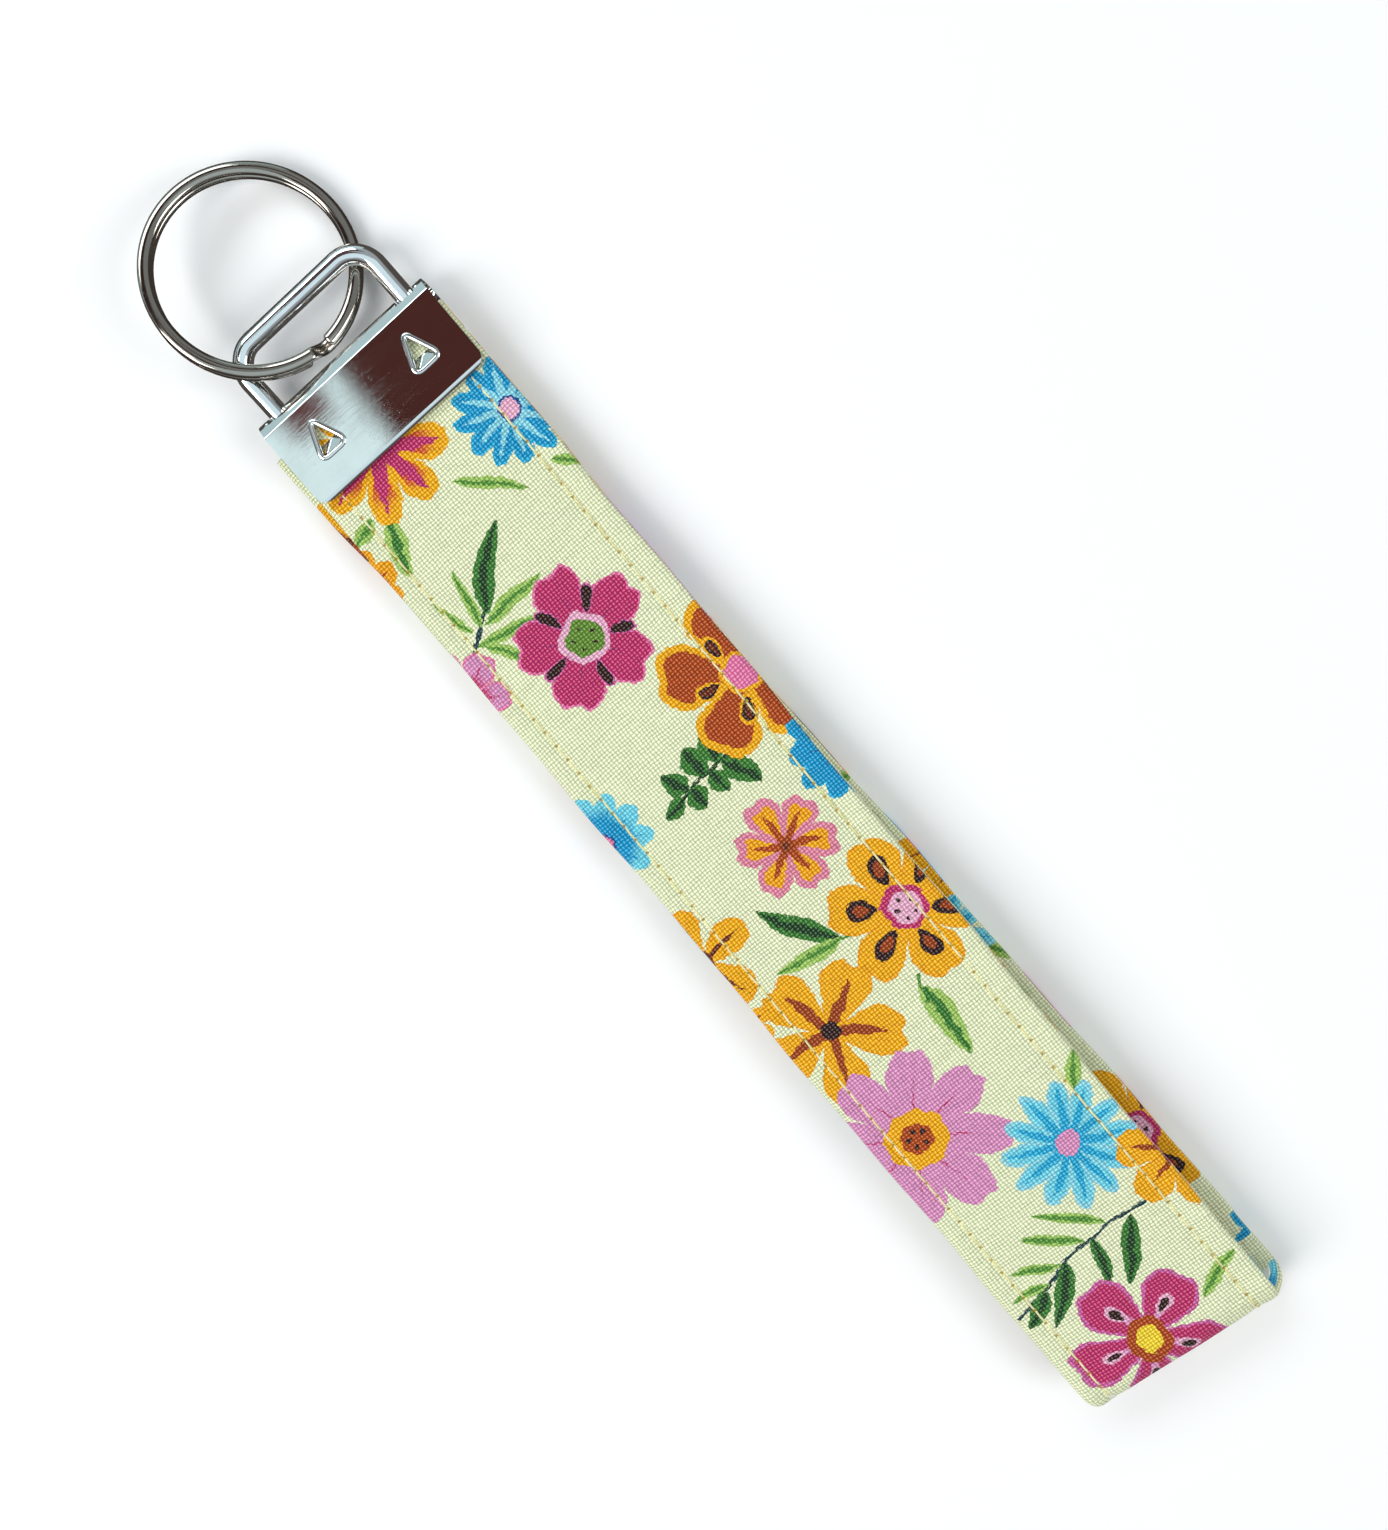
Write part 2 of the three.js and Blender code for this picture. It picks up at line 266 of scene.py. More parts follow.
def inSector(tree, given, count):  # how far out and round a spot lies, and where in its own petal or drop
    spot = vectorMaths(tree, "SUBTRACT", given["Place"], given["Centre"])
    x, y = splitVector(tree, spot)
    radius = vectorMaths(tree, "LENGTH", spot, out="Value")
    bearing = minus(tree, maths(tree, "ARCTAN2", y, x), given["Turn"])
    halfSector = maths(tree, "DIVIDE", math.pi, count)
    folded = maths(tree, "WRAP", bearing, halfSector, times(tree, halfSector, -1.0))
    along = times(tree, radius, maths(tree, "COSINE", folded))
    return radius, bearing, folded, along, times(tree, radius, maths(tree, "SINE", folded))


def makeFlowerGroup():
    tree, given, result = newGroup("petalFlower", {
        "Vector": ["Place", "Centre"],
        "Color": ["Below", "Petal", "Inner", "Rim", "Streak", "Halo", "Eye"],
        "Float": ["Grain", "Turn", "Petals", "Reach", "Width", "Notch", "Inner Reach", "Rim Width",
                  "Streak Width", "Streak Reach", "Halo Radius", "Eye Radius"],
    })
    radius, bearing, folded, along, side = inSector(tree, given, given["Petals"])
    side = maths(tree, "ABSOLUTE", side)
    grain, width = given["Grain"], given["Width"]
    # A petal is an egg, broad outside, with a nick in its tip.
    nickShare = remap(tree, side, 0.0, times(tree, width, 0.6), 1.0, 0.0, smooth=True)
    nicked = timesPlus(tree, nickShare, given["Notch"], along)
    middle = times(tree, given["Reach"], 0.62)
    halfLength = times(tree, given["Reach"], 0.38)
    broad = remap(tree, along, 0.0, middle, 0.32, 1.0)
    lengthwise = maths(tree, "DIVIDE", minus(tree, nicked, middle), halfLength)
    sideways = maths(tree, "DIVIDE", side, times(tree, width, broad))
    inward = times(tree, maths(tree, "MINIMUM", lengthwise, 0.0), 0.55)  # the neck is longer than the tip
    lengthwise = plus(tree, maths(tree, "MAXIMUM", lengthwise, 0.0), inward)
    egg = vectorMaths(tree, "LENGTH", joinVector(tree, lengthwise, sideways), out="Value")
    inset = times(tree, minus(tree, 1.0, egg), width)
    softRadius = timesPlus(tree, grain, 1.6, radius)
    innerNear = times(tree, given["Inner Reach"], 0.62)
    innerShare = remap(tree, softRadius, innerNear, given["Inner Reach"], 1.0, 0.0, smooth=True)
    colour = mixColours(tree, innerShare, given["Petal"], given["Inner"])
    rimWidth = times(tree, given["Rim Width"], timesPlus(tree, grain, 0.8, 1.0))
    colour = mixColours(tree, isLess(tree, inset, rimWidth), colour, given["Rim"])
    taper = minus(tree, 1.0, maths(tree, "DIVIDE", along, given["Streak Reach"]))
    streakEdge = times(tree, times(tree, given["Streak Width"], broad), timesPlus(tree, grain, 0.7, taper))
    colour = mixColours(tree, isLess(tree, side, streakEdge), colour, given["Streak"])
    brushed = maths(tree, "SINE", timesPlus(tree, folded, 42.0, times(tree, grain, 9.0)))
    tone = timesPlus(tree, brushed, 0.05, timesPlus(tree, grain, 0.22, 1.0))
    colour = mixColours(tree, 1.0, colour, grey(tree, tone), "MULTIPLY")
    colour = mixColours(tree, maths(tree, "GREATER_THAN", inset, 0.0), given["Below"], colour)
    lobed = maths(tree, "COSINE", times(tree, bearing, given["Petals"]))
    wavy = timesPlus(tree, times(tree, lobed, radius), -0.05, radius)
    for part in ("Halo", "Eye"):
        colour = mixColours(tree, isLess(tree, wavy, given[part + " Radius"]), colour, given[part])
    tree.links.new(colour, result)
    return tree


def makeMarksGroup():  # a ring of drops or dots about a flower's eye
    tree, given, result = newGroup("dropRing", {
        "Vector": ["Place", "Centre"],
        "Color": ["Below", "Outline", "Fill"],
        "Float": ["Turn", "Count", "Radius", "Half Length", "Half Width", "Outline Width"],
    })
    reach, side = inSector(tree, given, given["Count"])[3:]
    along = maths(tree, "DIVIDE", minus(tree, reach, given["Radius"]), given["Half Length"])
    waist = times(tree, given["Half Width"], timesPlus(tree, along, 0.35, 0.85))
    across = maths(tree, "DIVIDE", side, waist)
    egg = vectorMaths(tree, "LENGTH", joinVector(tree, along, across), out="Value")
    inset = times(tree, minus(tree, 1.0, egg), given["Half Width"])
    drop = mixColours(tree, isLess(tree, inset, given["Outline Width"]), given["Fill"], given["Outline"])
    tree.links.new(mixColours(tree, maths(tree, "GREATER_THAN", inset, 0.0), given["Below"], drop), result)
    return tree


def onBlade(tree, given):  # the share of the way from base to tip, and how far aside
    spot = vectorMaths(tree, "SUBTRACT", given["Place"], given["Base"])
    along = vectorMaths(tree, "DOT_PRODUCT", spot, given["Axis"], out="Value")
    return along, vectorMaths(tree, "DOT_PRODUCT", spot, given["Across"], out="Value")


def makeLeafGroup():
    tree, given, result = newGroup("leafBlade", {
        "Vector": ["Place", "Base", "Axis", "Across"],
        "Color": ["Below", "Edge", "Heart"],
        "Float": ["Grain", "Width", "Bow", "Heart Share"],
    })
    along, side = onBlade(tree, given)
    hump = maths(tree, "MAXIMUM", times(tree, along, minus(tree, 1.0, along)), 0.0)
    bowed = maths(tree, "ABSOLUTE", timesPlus(tree, hump, given["Bow"], side))
    fuller = timesPlus(tree, along, -0.2, 0.6)
    arched = maths(tree, "POWER", times(tree, hump, 4.0), 0.72)
    half = times(tree, times(tree, arched, fuller), given["Width"])
    heart = times(tree, half, timesPlus(tree, given["Grain"], 1.1, given["Heart Share"]))
    blade = mixColours(tree, isLess(tree, bowed, heart), given["Edge"], given["Heart"])
    tree.links.new(mixColours(tree, isLess(tree, bowed, half), given["Below"], blade), result)
    return tree


def makeStemGroup():
    tree, given, result = newGroup("stemLine", {
        "Vector": ["Place", "Base", "Axis", "Across"],
        "Color": ["Below", "Stem"],
        "Float": ["Width"],
    })
    along, side = onBlade(tree, given)
    within = maths(tree, "COMPARE", along, 0.5, 0.53)
    slim = isLess(tree, maths(tree, "ABSOLUTE", side), times(tree, given["Width"], 0.5))
    share = times(tree, within, slim)
    tree.links.new(mixColours(tree, share, given["Below"], given["Stem"]), result)
    return tree


flowerGroup, marksGroup = makeFlowerGroup(), makeMarksGroup()
leafGroup, stemGroup = makeLeafGroup(), makeStemGroup()

flowerColumns = (
    "Centre", "Turn", "Petals", "Reach", "Width", "Notch", "Petal", "Inner", "Inner Reach", "Rim",
    "Rim Width", "Streak", "Streak Width", "Streak Reach", "Halo", "Halo Radius", "Eye", "Eye Radius",
)
flowers = [  # turns in degrees, lengths in millimetres, widths as half-widths
    ((-3.8, -9.8), 14, 8, 8.9, 2.1, 0.4, "marigold", "ember", 7.4, "marigold", 0.75,
     "magenta", 1.9, 7.8, "magenta", 2.2, "pink", 0.9),
    ((10.9, -16.5), 8, 12, 6.6, 1.25, 0.0, "blue", "blue", 0, "skyDeep", 0.25,
     "skyPale", 1.0, 5.8, "navy", 1.4, "blush", 1.15),
    ((-15.5, -21.0), 0, 7, 4.8, 1.5, 0.3, "orange", "rust", 3.2, "orange", 0,
     "rust", 0.4, 4.0, "rust", 1.2, "brown", 0.6),
    ((-15.0, -38.0), 22, 6, 5.9, 1.9, 0.5, "rose", "magenta", 3.4, "pink", 0.3,
     "magenta", 0.4, 4.5, "magenta", 1.6, "ink", 0.8),
    ((0.5, -41.7), 8, 5, 8.9, 3.15, 1.0, "magenta", "magenta", 0, "pink", 0.28,
     "plum", 0.3, 5.5, "blush", 3.0, "lime", 2.25),
    ((11.7, -56.4), 2, 5, 10.2, 3.9, 0.8, "rust", "rust", 0, "marigold", 0.95,
     "brown", 0.0, 1, "marigold", 2.5, "pink", 2.0),
    ((-13.5, -61.5), 10, 10, 6.0, 1.35, 0.0, "sky", "blue", 4.4, "sky", 0,
     "blue", 0.4, 4.8, "navy", 1.3, "pink", 1.0),
    ((15.0, -70.0), 10, 10, 6.1, 1.5, 0.0, "blue", "blue", 0, "skyDeep", 0.2,
     "navy", 0.2, 4.0, "navy", 1.4, "pink", 1.0),
    ((3.0, -75.2), 30, 6, 6.5, 2.15, 0.7, "orange", "marigold", 4.2, "coral", 0.85,
     "rust", 1.25, 4.4, "rustDeep", 0.9, "brown", 0.45),
    ((8.8, -89.2), 25, 6, 9.4, 3.0, 0.6, "marigold", "marigold", 0, "orange", 0.3,
     "orange", 0.3, 6, "magenta", 2.6, "blush", 1.9),
    ((-14.0, -79.5), 5, 5, 7.3, 2.3, 0.3, "marigold", "marigold", 0, "orange", 0.3,
     "brown", 0.75, 6.0, "brown", 1.6, "ink", 0.7),
    ((-7.2, -95.0), 33, 5, 9.2, 3.05, 0.9, "marigold", "marigold", 0, "orange", 0.25,
     "rustDeep", 1.6, 7.0, "ink", 1.2, "ink", 0.6),
    ((-14.3, -88.8), 15, 5, 3.2, 1.2, 0.2, "marigold", "marigold", 0, "orange", 0.2,
     "rust", 0.4, 2.5, "rust", 0.6, "ink", 0.3),
    ((-7.7, -111.4), 12, 8, 11.4, 2.75, 0.9, "rose", "rose", 0, "rose", 0.3,
     "magenta", 0.3, 7.6, "marigold", 3.7, "rust", 1.9),
    ((5.6, -122.5), 6, 12, 7.9, 1.3, 0.0, "sky", "sky", 0, "skyPale", 0.3,
     "skyDeep", 1.1, 7.2, "skyDeep", 1.75, "rose", 1.5),
    ((14.5, -130.5), 20, 6, 6.9, 2.2, 0.4, "marigold", "marigold", 0, "orange", 0.2,
     "rustDeep", 0.9, 5.0, "brown", 1.8, "rust", 0.9),
    ((-2.2, -147.1), 30, 5, 9.8, 3.3, 0.7, "magenta", "magenta", 0, "roseDeep", 0.5,
     "rose", 1.3, 6.2, "rust", 2.7, "yellow", 1.6),
]

dropColumns = (
    "Centre", "Turn", "Count", "Radius", "Half Length", "Half Width", "Outline", "Outline Width", "Fill",
)
drops = [
    ((0.5, -41.7), 44, 5, 4.6, 1.9, 0.85, "roseDeep", 0.14, "ink"),
    ((0.5, -41.7), 10, 5, 1.3, 0.25, 0.22, "ink", 0.3, "ink"),
    ((11.7, -56.4), 98, 5, 4.2, 1.7, 1.1, "marigold", 0.3, "ink"),
    ((11.7, -56.4), 98, 5, 4.2, 1.0, 0.4, "brown", 0.3, "brown"),
    ((8.8, -89.2), 25, 6, 4.9, 1.9, 1.3, "ink", 0.6, "rustDeep"),
    ((8.8, -89.2), 20, 5, 1.1, 0.25, 0.25, "ink", 0.3, "ink"),
    ((-7.7, -111.4), 20, 5, 1.0, 0.36, 0.34, "ink", 0.3, "ink"),
    ((-2.2, -147.1), 30, 5, 4.6, 1.5, 0.85, "blush", 0.34, "ink"),
]

paleLeaf = ("leafLight", "leaf", 0.34)
darkLeaf = ("leafMid", "leafDark", 0.34)
leafColumns = ("Width", "Bow", "Edge", "Heart", "Heart Share")
leaves = [  # base, tip and the columns above
    ((0.7, -18.2), (6.9, -24.6), 1.5, 1.2, *paleLeaf),
    ((10.7, -24.0), (13.4, -26.6), 1.3, 0.4, *paleLeaf),
    ((-9.5, -15.5), (-13.2, -16.6), 1.8, 0.5, *paleLeaf),
    ((-7.9, -16.0), (-10.2, -23.6), 2.6, -1.0, "leafLight", "leafMid", 0.4),
    ((-6.8, -32.0), (1.3, -25.0), 2.7, 1.0, *darkLeaf),
    ((-8.9, -33.0), (-10.8, -27.4), 1.0, 0.5, *paleLeaf),
    ((-7.9, -33.0), (-6.1, -26.0), 1.3, 0.6, *paleLeaf),
    ((-7.5, -33.0), (1.5, -33.0), 1.9, 0.8, *paleLeaf),
    ((-9.8, -34.7), (-1.2, -36.8), 1.8, 1.0, *paleLeaf),
    ((-9.3, -35.1), (-6.0, -40.0), 1.4, 0.5, *paleLeaf),
    ((-2.9, -63.2), (-6.0, -63.6), 2.3, 0.3, *darkLeaf),
    ((-2.0, -62.9), (-3.0, -59.9), 2.9, 0.3, *darkLeaf),
    ((0.6, -62.8), (0.9, -59.0), 2.9, 0.3, *darkLeaf),
    ((2.9, -62.6), (4.2, -58.6), 2.9, 0.3, *darkLeaf),
    ((-1.6, -63.0), (-1.3, -66.0), 2.9, 0.3, *darkLeaf),
    ((1.3, -62.8), (2.1, -66.2), 2.7, 0.3, *darkLeaf),
    ((3.6, -62.6), (5.6, -67.6), 2.9, 0.3, *darkLeaf),
    ((4.4, -62.5), (8.4, -63.0), 2.9, 0.3, *darkLeaf),
    ((0.7, -87.3), (-5.0, -78.5), 2.4, 1.2, "leafMid", "leafDark", 0.42),
    ((0.7, -87.3), (-8.0, -85.8), 2.0, 1.2, *paleLeaf),
    ((4.4, -97.3), (3.8, -107.1), 3.0, 1.2, "leafLight", "leafMid", 0.36),
    ((9.8, -118.3), (13.4, -114.0), 2.0, 0.6, *paleLeaf),
    ((5.7, -133.1), (0.2, -140.6), 2.0, 0.8, *darkLeaf),
    ((0.5, -133.3), (-1.4, -139.2), 1.8, 0.6, *darkLeaf),
    ((-3.7, -134.0), (-9.8, -140.2), 2.0, 0.8, *darkLeaf),
    ((-7.7, -135.8), (-12.4, -138.6), 2.0, 0.5, *darkLeaf),
    ((3.2, -132.3), (-3.3, -127.2), 1.5, -0.9, "leafLight", "leaf", 0.45),
    ((-0.6, -133.3), (-6.4, -128.8), 1.5, -0.9, "leafLight", "leaf", 0.45),
    ((-4.3, -134.0), (-9.8, -131.7), 1.4, -0.7, "leafLight", "leaf", 0.45),
    ((-6.8, -135.2), (-11.6, -134.5), 1.3, -0.5, "leafLight", "leaf", 0.45),
    ((6.3, -146.3), (12.1, -143.9), 1.8, 0.8, *paleLeaf),
]

stems = [  # points in order, width, colour
    ([(-10.8, -35.2), (-8.6, -33.4), (-6.2, -31.3)], 0.5, "teal"),
    ([(-5.6, -63.7), (0.0, -62.8), (5.8, -62.4)], 0.42, "leafDark"),
    ([(8.9, -133.0), (4.0, -132.5), (0.2, -133.3), (-3.9, -134.0), (-7.3, -135.4), (-12.4, -136.8)],
     0.42, "teal"),
    ([(0.7, -87.3), (2.4, -88.0)], 0.35, "leaf"),
    ([(4.4, -97.3), (5.0, -96.2)], 0.35, "leaf"),
]

printRepeat = 160.5  # the print runs on over the strap's back from here
wrap = {
    "left": 2.75,  # the left edge goes on from the front over this width
    "inner": 14.2,  # past this the cloth is the strap's inner side
    "innerShift": (27.2, 71),  # which part of the print shows there
}
cloth = {
    "yarns": (0.45, 0.42),  # warp and weft pitch
    "drift": 0.5,  # the yarns wander this far, so the weave is never a perfect grid
    "jitter": 0.24,  # ink sits on whole yarns, which breaks a printed edge into steps
    "wander": 1.1,
    "bare": 0.12,  # painted highlight: the yarns' crowns are mixed towards the pale ground colour
    "depth": (0.56, 1.18),  # painted shade in the hollows and painted highlight on the crowns: how dark the hollows and how light the crowns are
    "slub": 0.05,
    "fleck": 0.03,
    "relief": 0.00011,
    "hole": (0.13, 0.33),
    "holeTint": dye(184, 156, 66),
}


def rowInputs(columns, row):  # a table's row as the inputs of a group
    values = dict(zip(columns, row))
    for label, value in values.items():
        if isinstance(value, str):
            values[label] = inks[value]
        elif isinstance(value, tuple):
            values[label] = (*value, 0)
    if "Turn" in values:
        values["Turn"] = math.radians(values["Turn"])
    return values


def laidAlong(base, tip):
    run = np.subtract(tip, base)
    length = float(np.hypot(*run))
    across = (run[1] / length, -run[0] / length, 0)
    return {"Base": (*base, 0), "Axis": (*(run / length**2), 0), "Across": across}


def paintPrint(tree, place, grain):
    colour = ground

    def paint(group, inputs):
        return useGroup(tree, group, {"Below": colour, "Place": place, **inputs})

    for points, width, ink in stems:
        for base, tip in zip(points, points[1:]):
            colour = paint(stemGroup, {**laidAlong(base, tip), "Width": width, "Stem": inks[ink]})
    for base, tip, *row in leaves:
        colour = paint(leafGroup, {"Grain": grain, **laidAlong(base, tip), **rowInputs(leafColumns, row)})
    for row in flowers:
        colour = paint(flowerGroup, {"Grain": grain, **rowInputs(flowerColumns, row)})
    for row in drops:
        colour = paint(marksGroup, rowInputs(dropColumns, row))
    return colour


strap = {
    "width": 26.0,
    "ply": 1.7,
    "top": -2.2,  # ends hidden in the clamp
    "end": -152.7,  # loop end
    "wristGap": 4.5,
    "plyGap": 0.3,
    "rise": (-14.0, -132.0),  # the front ply climbs over this stretch
    "drop": (-11.5, -24.0),  # the rear ply comes down over this one
    "skewAtClamp": -1.4,
    "skewAtEnd": 2.0,
    "endSlant": 0.9,  # the right corner of the loop end is this much lower, the left one as much higher
    "stitchLines": (-10.3, 10.0),
    "stitchPitch": 2.04,
    "rowStep": 0.51,
    "channelDepth": 0.2,  # the groove each seam pulls into the cloth
    "channelWidth": 0.36,
    "puckerDepth": 0.10,
    "puckerWidth": 1.3,
    "swell": 0.10,  # how far the hem beyond each seam stands up
    "hem": 11.7,
    "hemWidth": 1.2,
    "ripple": 0.05,
    "crown": 0.05,
    "pinch": (-10.5, -17),  # the clamp presses the cloth flat as far as this
    "endRounding": 2.4,
    "endTuck": 0.9,
    "edgeRoll": 0.42,
    "slitDepth": 1.2,
}


def pierce(tree, colour, yarn):  # needle holes along both seams, tinted ochre at each hole
    u, v = splitVector(tree, yarn)
    fromLines = [maths(tree, "ABSOLUTE", minus(tree, u, line)) for line in strap["stitchLines"]]
    step = strap["stitchPitch"] / 2
    past = maths(tree, "WRAP", minus(tree, strap["top"], v), step, -step)
    away = joinVector(tree, maths(tree, "MINIMUM", *fromLines), past)
    reach = vectorMaths(tree, "LENGTH", away, out="Value")
    # Each needle hole is tinted a darker ochre.
    return mixColours(tree, remap(tree, reach, *cloth["hole"], 0.85, 0.0, smooth=True), colour, cloth["holeTint"])


def makeCotton():
    material, tree, shader = newMaterial("printedCotton")
    flat = addNode(tree, "ShaderNodeUVMap", uv_map="print").outputs[0]
    yarn = addNode(tree, "ShaderNodeUVMap", uv_map="yarn").outputs[0]
    drift = wander(tree, noise(tree, yarn, 0.35, 2.0, out="Color"), cloth["drift"])
    drifted = vectorMaths(tree, "ADD", yarn, drift)
    ways = zip(splitVector(tree, drifted), cloth["yarns"])
    threads = [maths(tree, "DIVIDE", way, pitch) for way, pitch in ways]
    domes = [maths(tree, "ABSOLUTE", maths(tree, "SINE", times(tree, thread, math.pi))) for thread in threads]
    cells = [maths(tree, "FLOOR", thread) for thread in threads]
    odd = maths(tree, "PINGPONG", plus(tree, *cells), 1.0)
    over = [times(tree, dome, timesPlus(tree, other, 0.45, 0.55)) for dome, other in (domes, domes[::-1])]
    weave = remap(tree, odd, 0.0, 1.0, *over)
    cell = joinVector(tree, *cells)
    fleck = addNode(tree, "ShaderNodeTexWhiteNoise", {0: cell}, noise_dimensions="2D").outputs
    slub = noise(tree, vectorMaths(tree, "MULTIPLY", drifted, (0.3, 2.6, 1)), 1.0, 2.0)
    jitter = wander(tree, fleck["Color"], cloth["jitter"])
    shift = wander(tree, noise(tree, flat, 0.2, 0.0, out="Color"), cloth["wander"])
    place = vectorMaths(tree, "ADD", vectorMaths(tree, "ADD", flat, shift), jitter)
    grain = minus(tree, noise(tree, flat, 0.9, 3.0, 0.7), 0.5)
    colour = paintPrint(tree, place, grain)
    # Painted highlight: the raised yarn crowns are lightened towards the ground colour.
    colour = mixColours(tree, remap(tree, weave, 0.6, 0.95, 0.0, cloth["bare"], smooth=True), colour, ground)
    colour = pierce(tree, colour, yarn)
    # Painted shade and painted highlight: the colour is multiplied darker in the weave's hollows and lighter
    # on its crowns, with slub and fleck tone added on top.
    depth = remap(tree, weave, 0.1, 0.9, *cloth["depth"])
    depth = plus(tree, depth, remap(tree, slub, 0.3, 0.7, -cloth["slub"], cloth["slub"]))
    depth = plus(tree, depth, remap(tree, fleck["Value"], 0.0, 1.0, -cloth["fleck"], cloth["fleck"]))
    dress(tree, shader, {
        "Base Color": mixColours(tree, 1.0, colour, grey(tree, depth), "MULTIPLY"),
        "Roughness": remap(tree, weave, 0.0, 1.0, 0.95, 0.74),
        "Sheen Weight": 0.04,
        "Sheen Roughness": 0.5,
        "Specular IOR Level": 0.15,
    }, timesPlus(tree, slub, 0.5, weave), cloth["relief"], 0.9)
    return material


# Strap

halfPly = strap["ply"] / 2
noseRadius = (strap["wristGap"] + strap["ply"]) / 2
noseCentre = strap["end"] + noseRadius + halfPly
spacing = strap["ply"] + strap["plyGap"]


def frontHeight(y):
    low, high = clampMiddle + spacing / 2, halfPly + 2 * noseRadius
    return low + (high - low) * easing(y, *strap["rise"])


def rearHeight(y):
    high = clampMiddle - spacing / 2
    return high + (halfPly - high) * easing(y, *strap["drop"])


def strapPath(step):
    down = np.arange(strap["top"], noseCentre, -0.1)
    turn = np.pi * np.linspace(0.5, 1.5, 90)
    noseHeight = halfPly + noseRadius + noseRadius * np.sin(turn)
    nose = np.stack([noseCentre + noseRadius * np.cos(turn), noseHeight], 1)
    front = np.stack([down, frontHeight(down)], 1)
    rear = np.stack([down[::-1], rearHeight(down[::-1])], 1)
    line = np.concatenate([front, nose, rear])
    run = runAlong(line)
    keep = np.concatenate([[True], np.diff(run) > 1e-6])
    stops = np.arange(0, run[-1], step)
    spots = np.stack([np.interp(stops, run[keep], line[keep, axis]) for axis in (0, 1)], 1)
    return stops, spots, rightwards(headings(spots))


def skew(points):  # the rear ply lies slightly aslant, and the loop end is cut a little out of square
    x, y, z = points.T
    front, rear = frontHeight(y), rearHeight(y)
    middle, halfGap = (front + rear) / 2, (front - rear - strap["ply"]) / 2
    share = easing(z, middle + halfGap, middle - halfGap)
    along = y / strap["end"]
    sideways = share * (strap["skewAtClamp"] + (strap["skewAtEnd"] - strap["skewAtClamp"]) * along)
    slant = -strap["endSlant"] * x / (strap["width"] / 2) * easing(y, -100, -152)
    return np.stack([x + sideways, y + slant, z], 1)


def strapSection():
    half = strap["width"] / 2
    left, right = halfPly - half, half - strap["edgeRoll"]
    columns, x = [], left
    while x < right - 0.15:
        columns.append(x)
        near = min(abs(x - line) for line in strap["stitchLines"])
        x += 0.15 if near < 0.8 else 0.3 if abs(x) > 9 else 0.8  # finest beside the seams
    face = np.array(columns + [right])
    roll = np.linspace(0, np.pi, 9)
    smallRoll = np.linspace(0, 0.97 * np.pi, 7)
    edge = strap["edgeRoll"]
    front = np.stack([face, np.full_like(face, halfPly)], 1)
    rolled = halfPly - edge + edge * np.cos(smallRoll[1:])
    upperRoll = np.stack([right + edge * np.sin(smallRoll[1:]), rolled], 1)
    floorX = upperRoll[-1, 0] - strap["slitDepth"]
    slit = np.array([[floorX, 0.0]])
    lowerRoll = upperRoll[::-1] * [1, -1]
    back = front[::-1] * [1, -1]
    leftRoll = np.stack([left - halfPly * np.sin(roll[1:-1]), -halfPly * np.cos(roll[1:-1])], 1)
    return np.concatenate([front, upperRoll, slit, lowerRoll, back, leftRoll]), len(front)


def makeStrap(material):
    stops, spots, outward = strapPath(strap["rowStep"])
    section, faceCount = strapSection()
    rows, columns = len(stops), len(section)
    across, height = section[:, 0][None, :], section[:, 1][None, :]
    faceSide = np.sign(height)
    half = strap["width"] / 2
    onFace = np.clip(np.abs(height) / halfPly, 0, 1) ** 4
    pinch = easing(spots[:, 0], *strap["pinch"])[:, None]
    relief = np.zeros((rows, columns))
    run = stops[:, None]
    for line in strap["stitchLines"]:
        away = np.abs(across - line)
        hole = 0.62 + 0.38 * np.cos(2 * np.pi * (run / strap["stitchPitch"]))
        relief -= strap["channelDepth"] * np.exp(-((away / strap["channelWidth"]) ** 2)) * hole
        relief -= strap["puckerDepth"] * np.exp(-((away / strap["puckerWidth"]) ** 2))
    swell = np.clip(1 - np.abs((np.abs(across) - strap["hem"]) / strap["hemWidth"]), 0, 1)
    lumps = 1 + 0.35 * np.sin(run / 1.9 + 2.0 * np.sin(run / 7.3))
    relief += strap["swell"] * swell * lumps
    relief += strap["ripple"] * np.sin(run / 5.1 + across / 3.7) * np.cos(across / 4.3 + run / 17.0)
    relief += strap["crown"] * np.cos(across / half * np.pi / 2)
    relief *= pinch
    # Edges run slightly uneven, and the loop end's corners are rounded.
    uneven = 0.10 * np.sin(stops / 6.7) + 0.07 * np.sin(stops / 2.9 + 1.0) + 0.05 * np.sin(stops / 15.0)
    uneven = uneven[:, None] * (across / half) ** 3 * pinch
    rounding = strap["endRounding"]
    curl = np.clip((strap["end"] + rounding - spots[:, 0]) / rounding, 0, 1)[:, None]
    tuck = strap["endTuck"] * curl**2.2 * (np.abs(across) / half) ** 6 * np.sign(across)
    x = across + uneven - tuck
    lift = height + relief * faceSide * onFace
    y = spots[:, 0][:, None] + outward[:, 0][:, None] * lift
    z = spots[:, 1][:, None] + outward[:, 1][:, None] * lift
    points = skew(np.stack([x, y, z], -1).reshape(-1, 3))
    points[:, 2] = np.maximum(points[:, 2], 0.02)
    faces = ribbonFaces(rows, columns)
    ends = [list(range(columns)), [(rows - 1) * columns + c for c in reversed(range(columns))]]
    piece = addPiece("printed_strap", points, faces.tolist() + ends, material)
    # The cloth's own coordinates: across the strap round its edges, and along it from the clamp.
    girth = runAlong(section)
    girth[faceCount + 6:] -= 2 * (strap["slitDepth"] - 0.6)
    girth += section[0, 0]
    closing = girth[-1] + np.hypot(*(section[0] - section[-1]))
    return piece, girth, closing, stops


cotton = makeCotton()
strapPiece, girth, closing, stops = makeStrap(cotton)


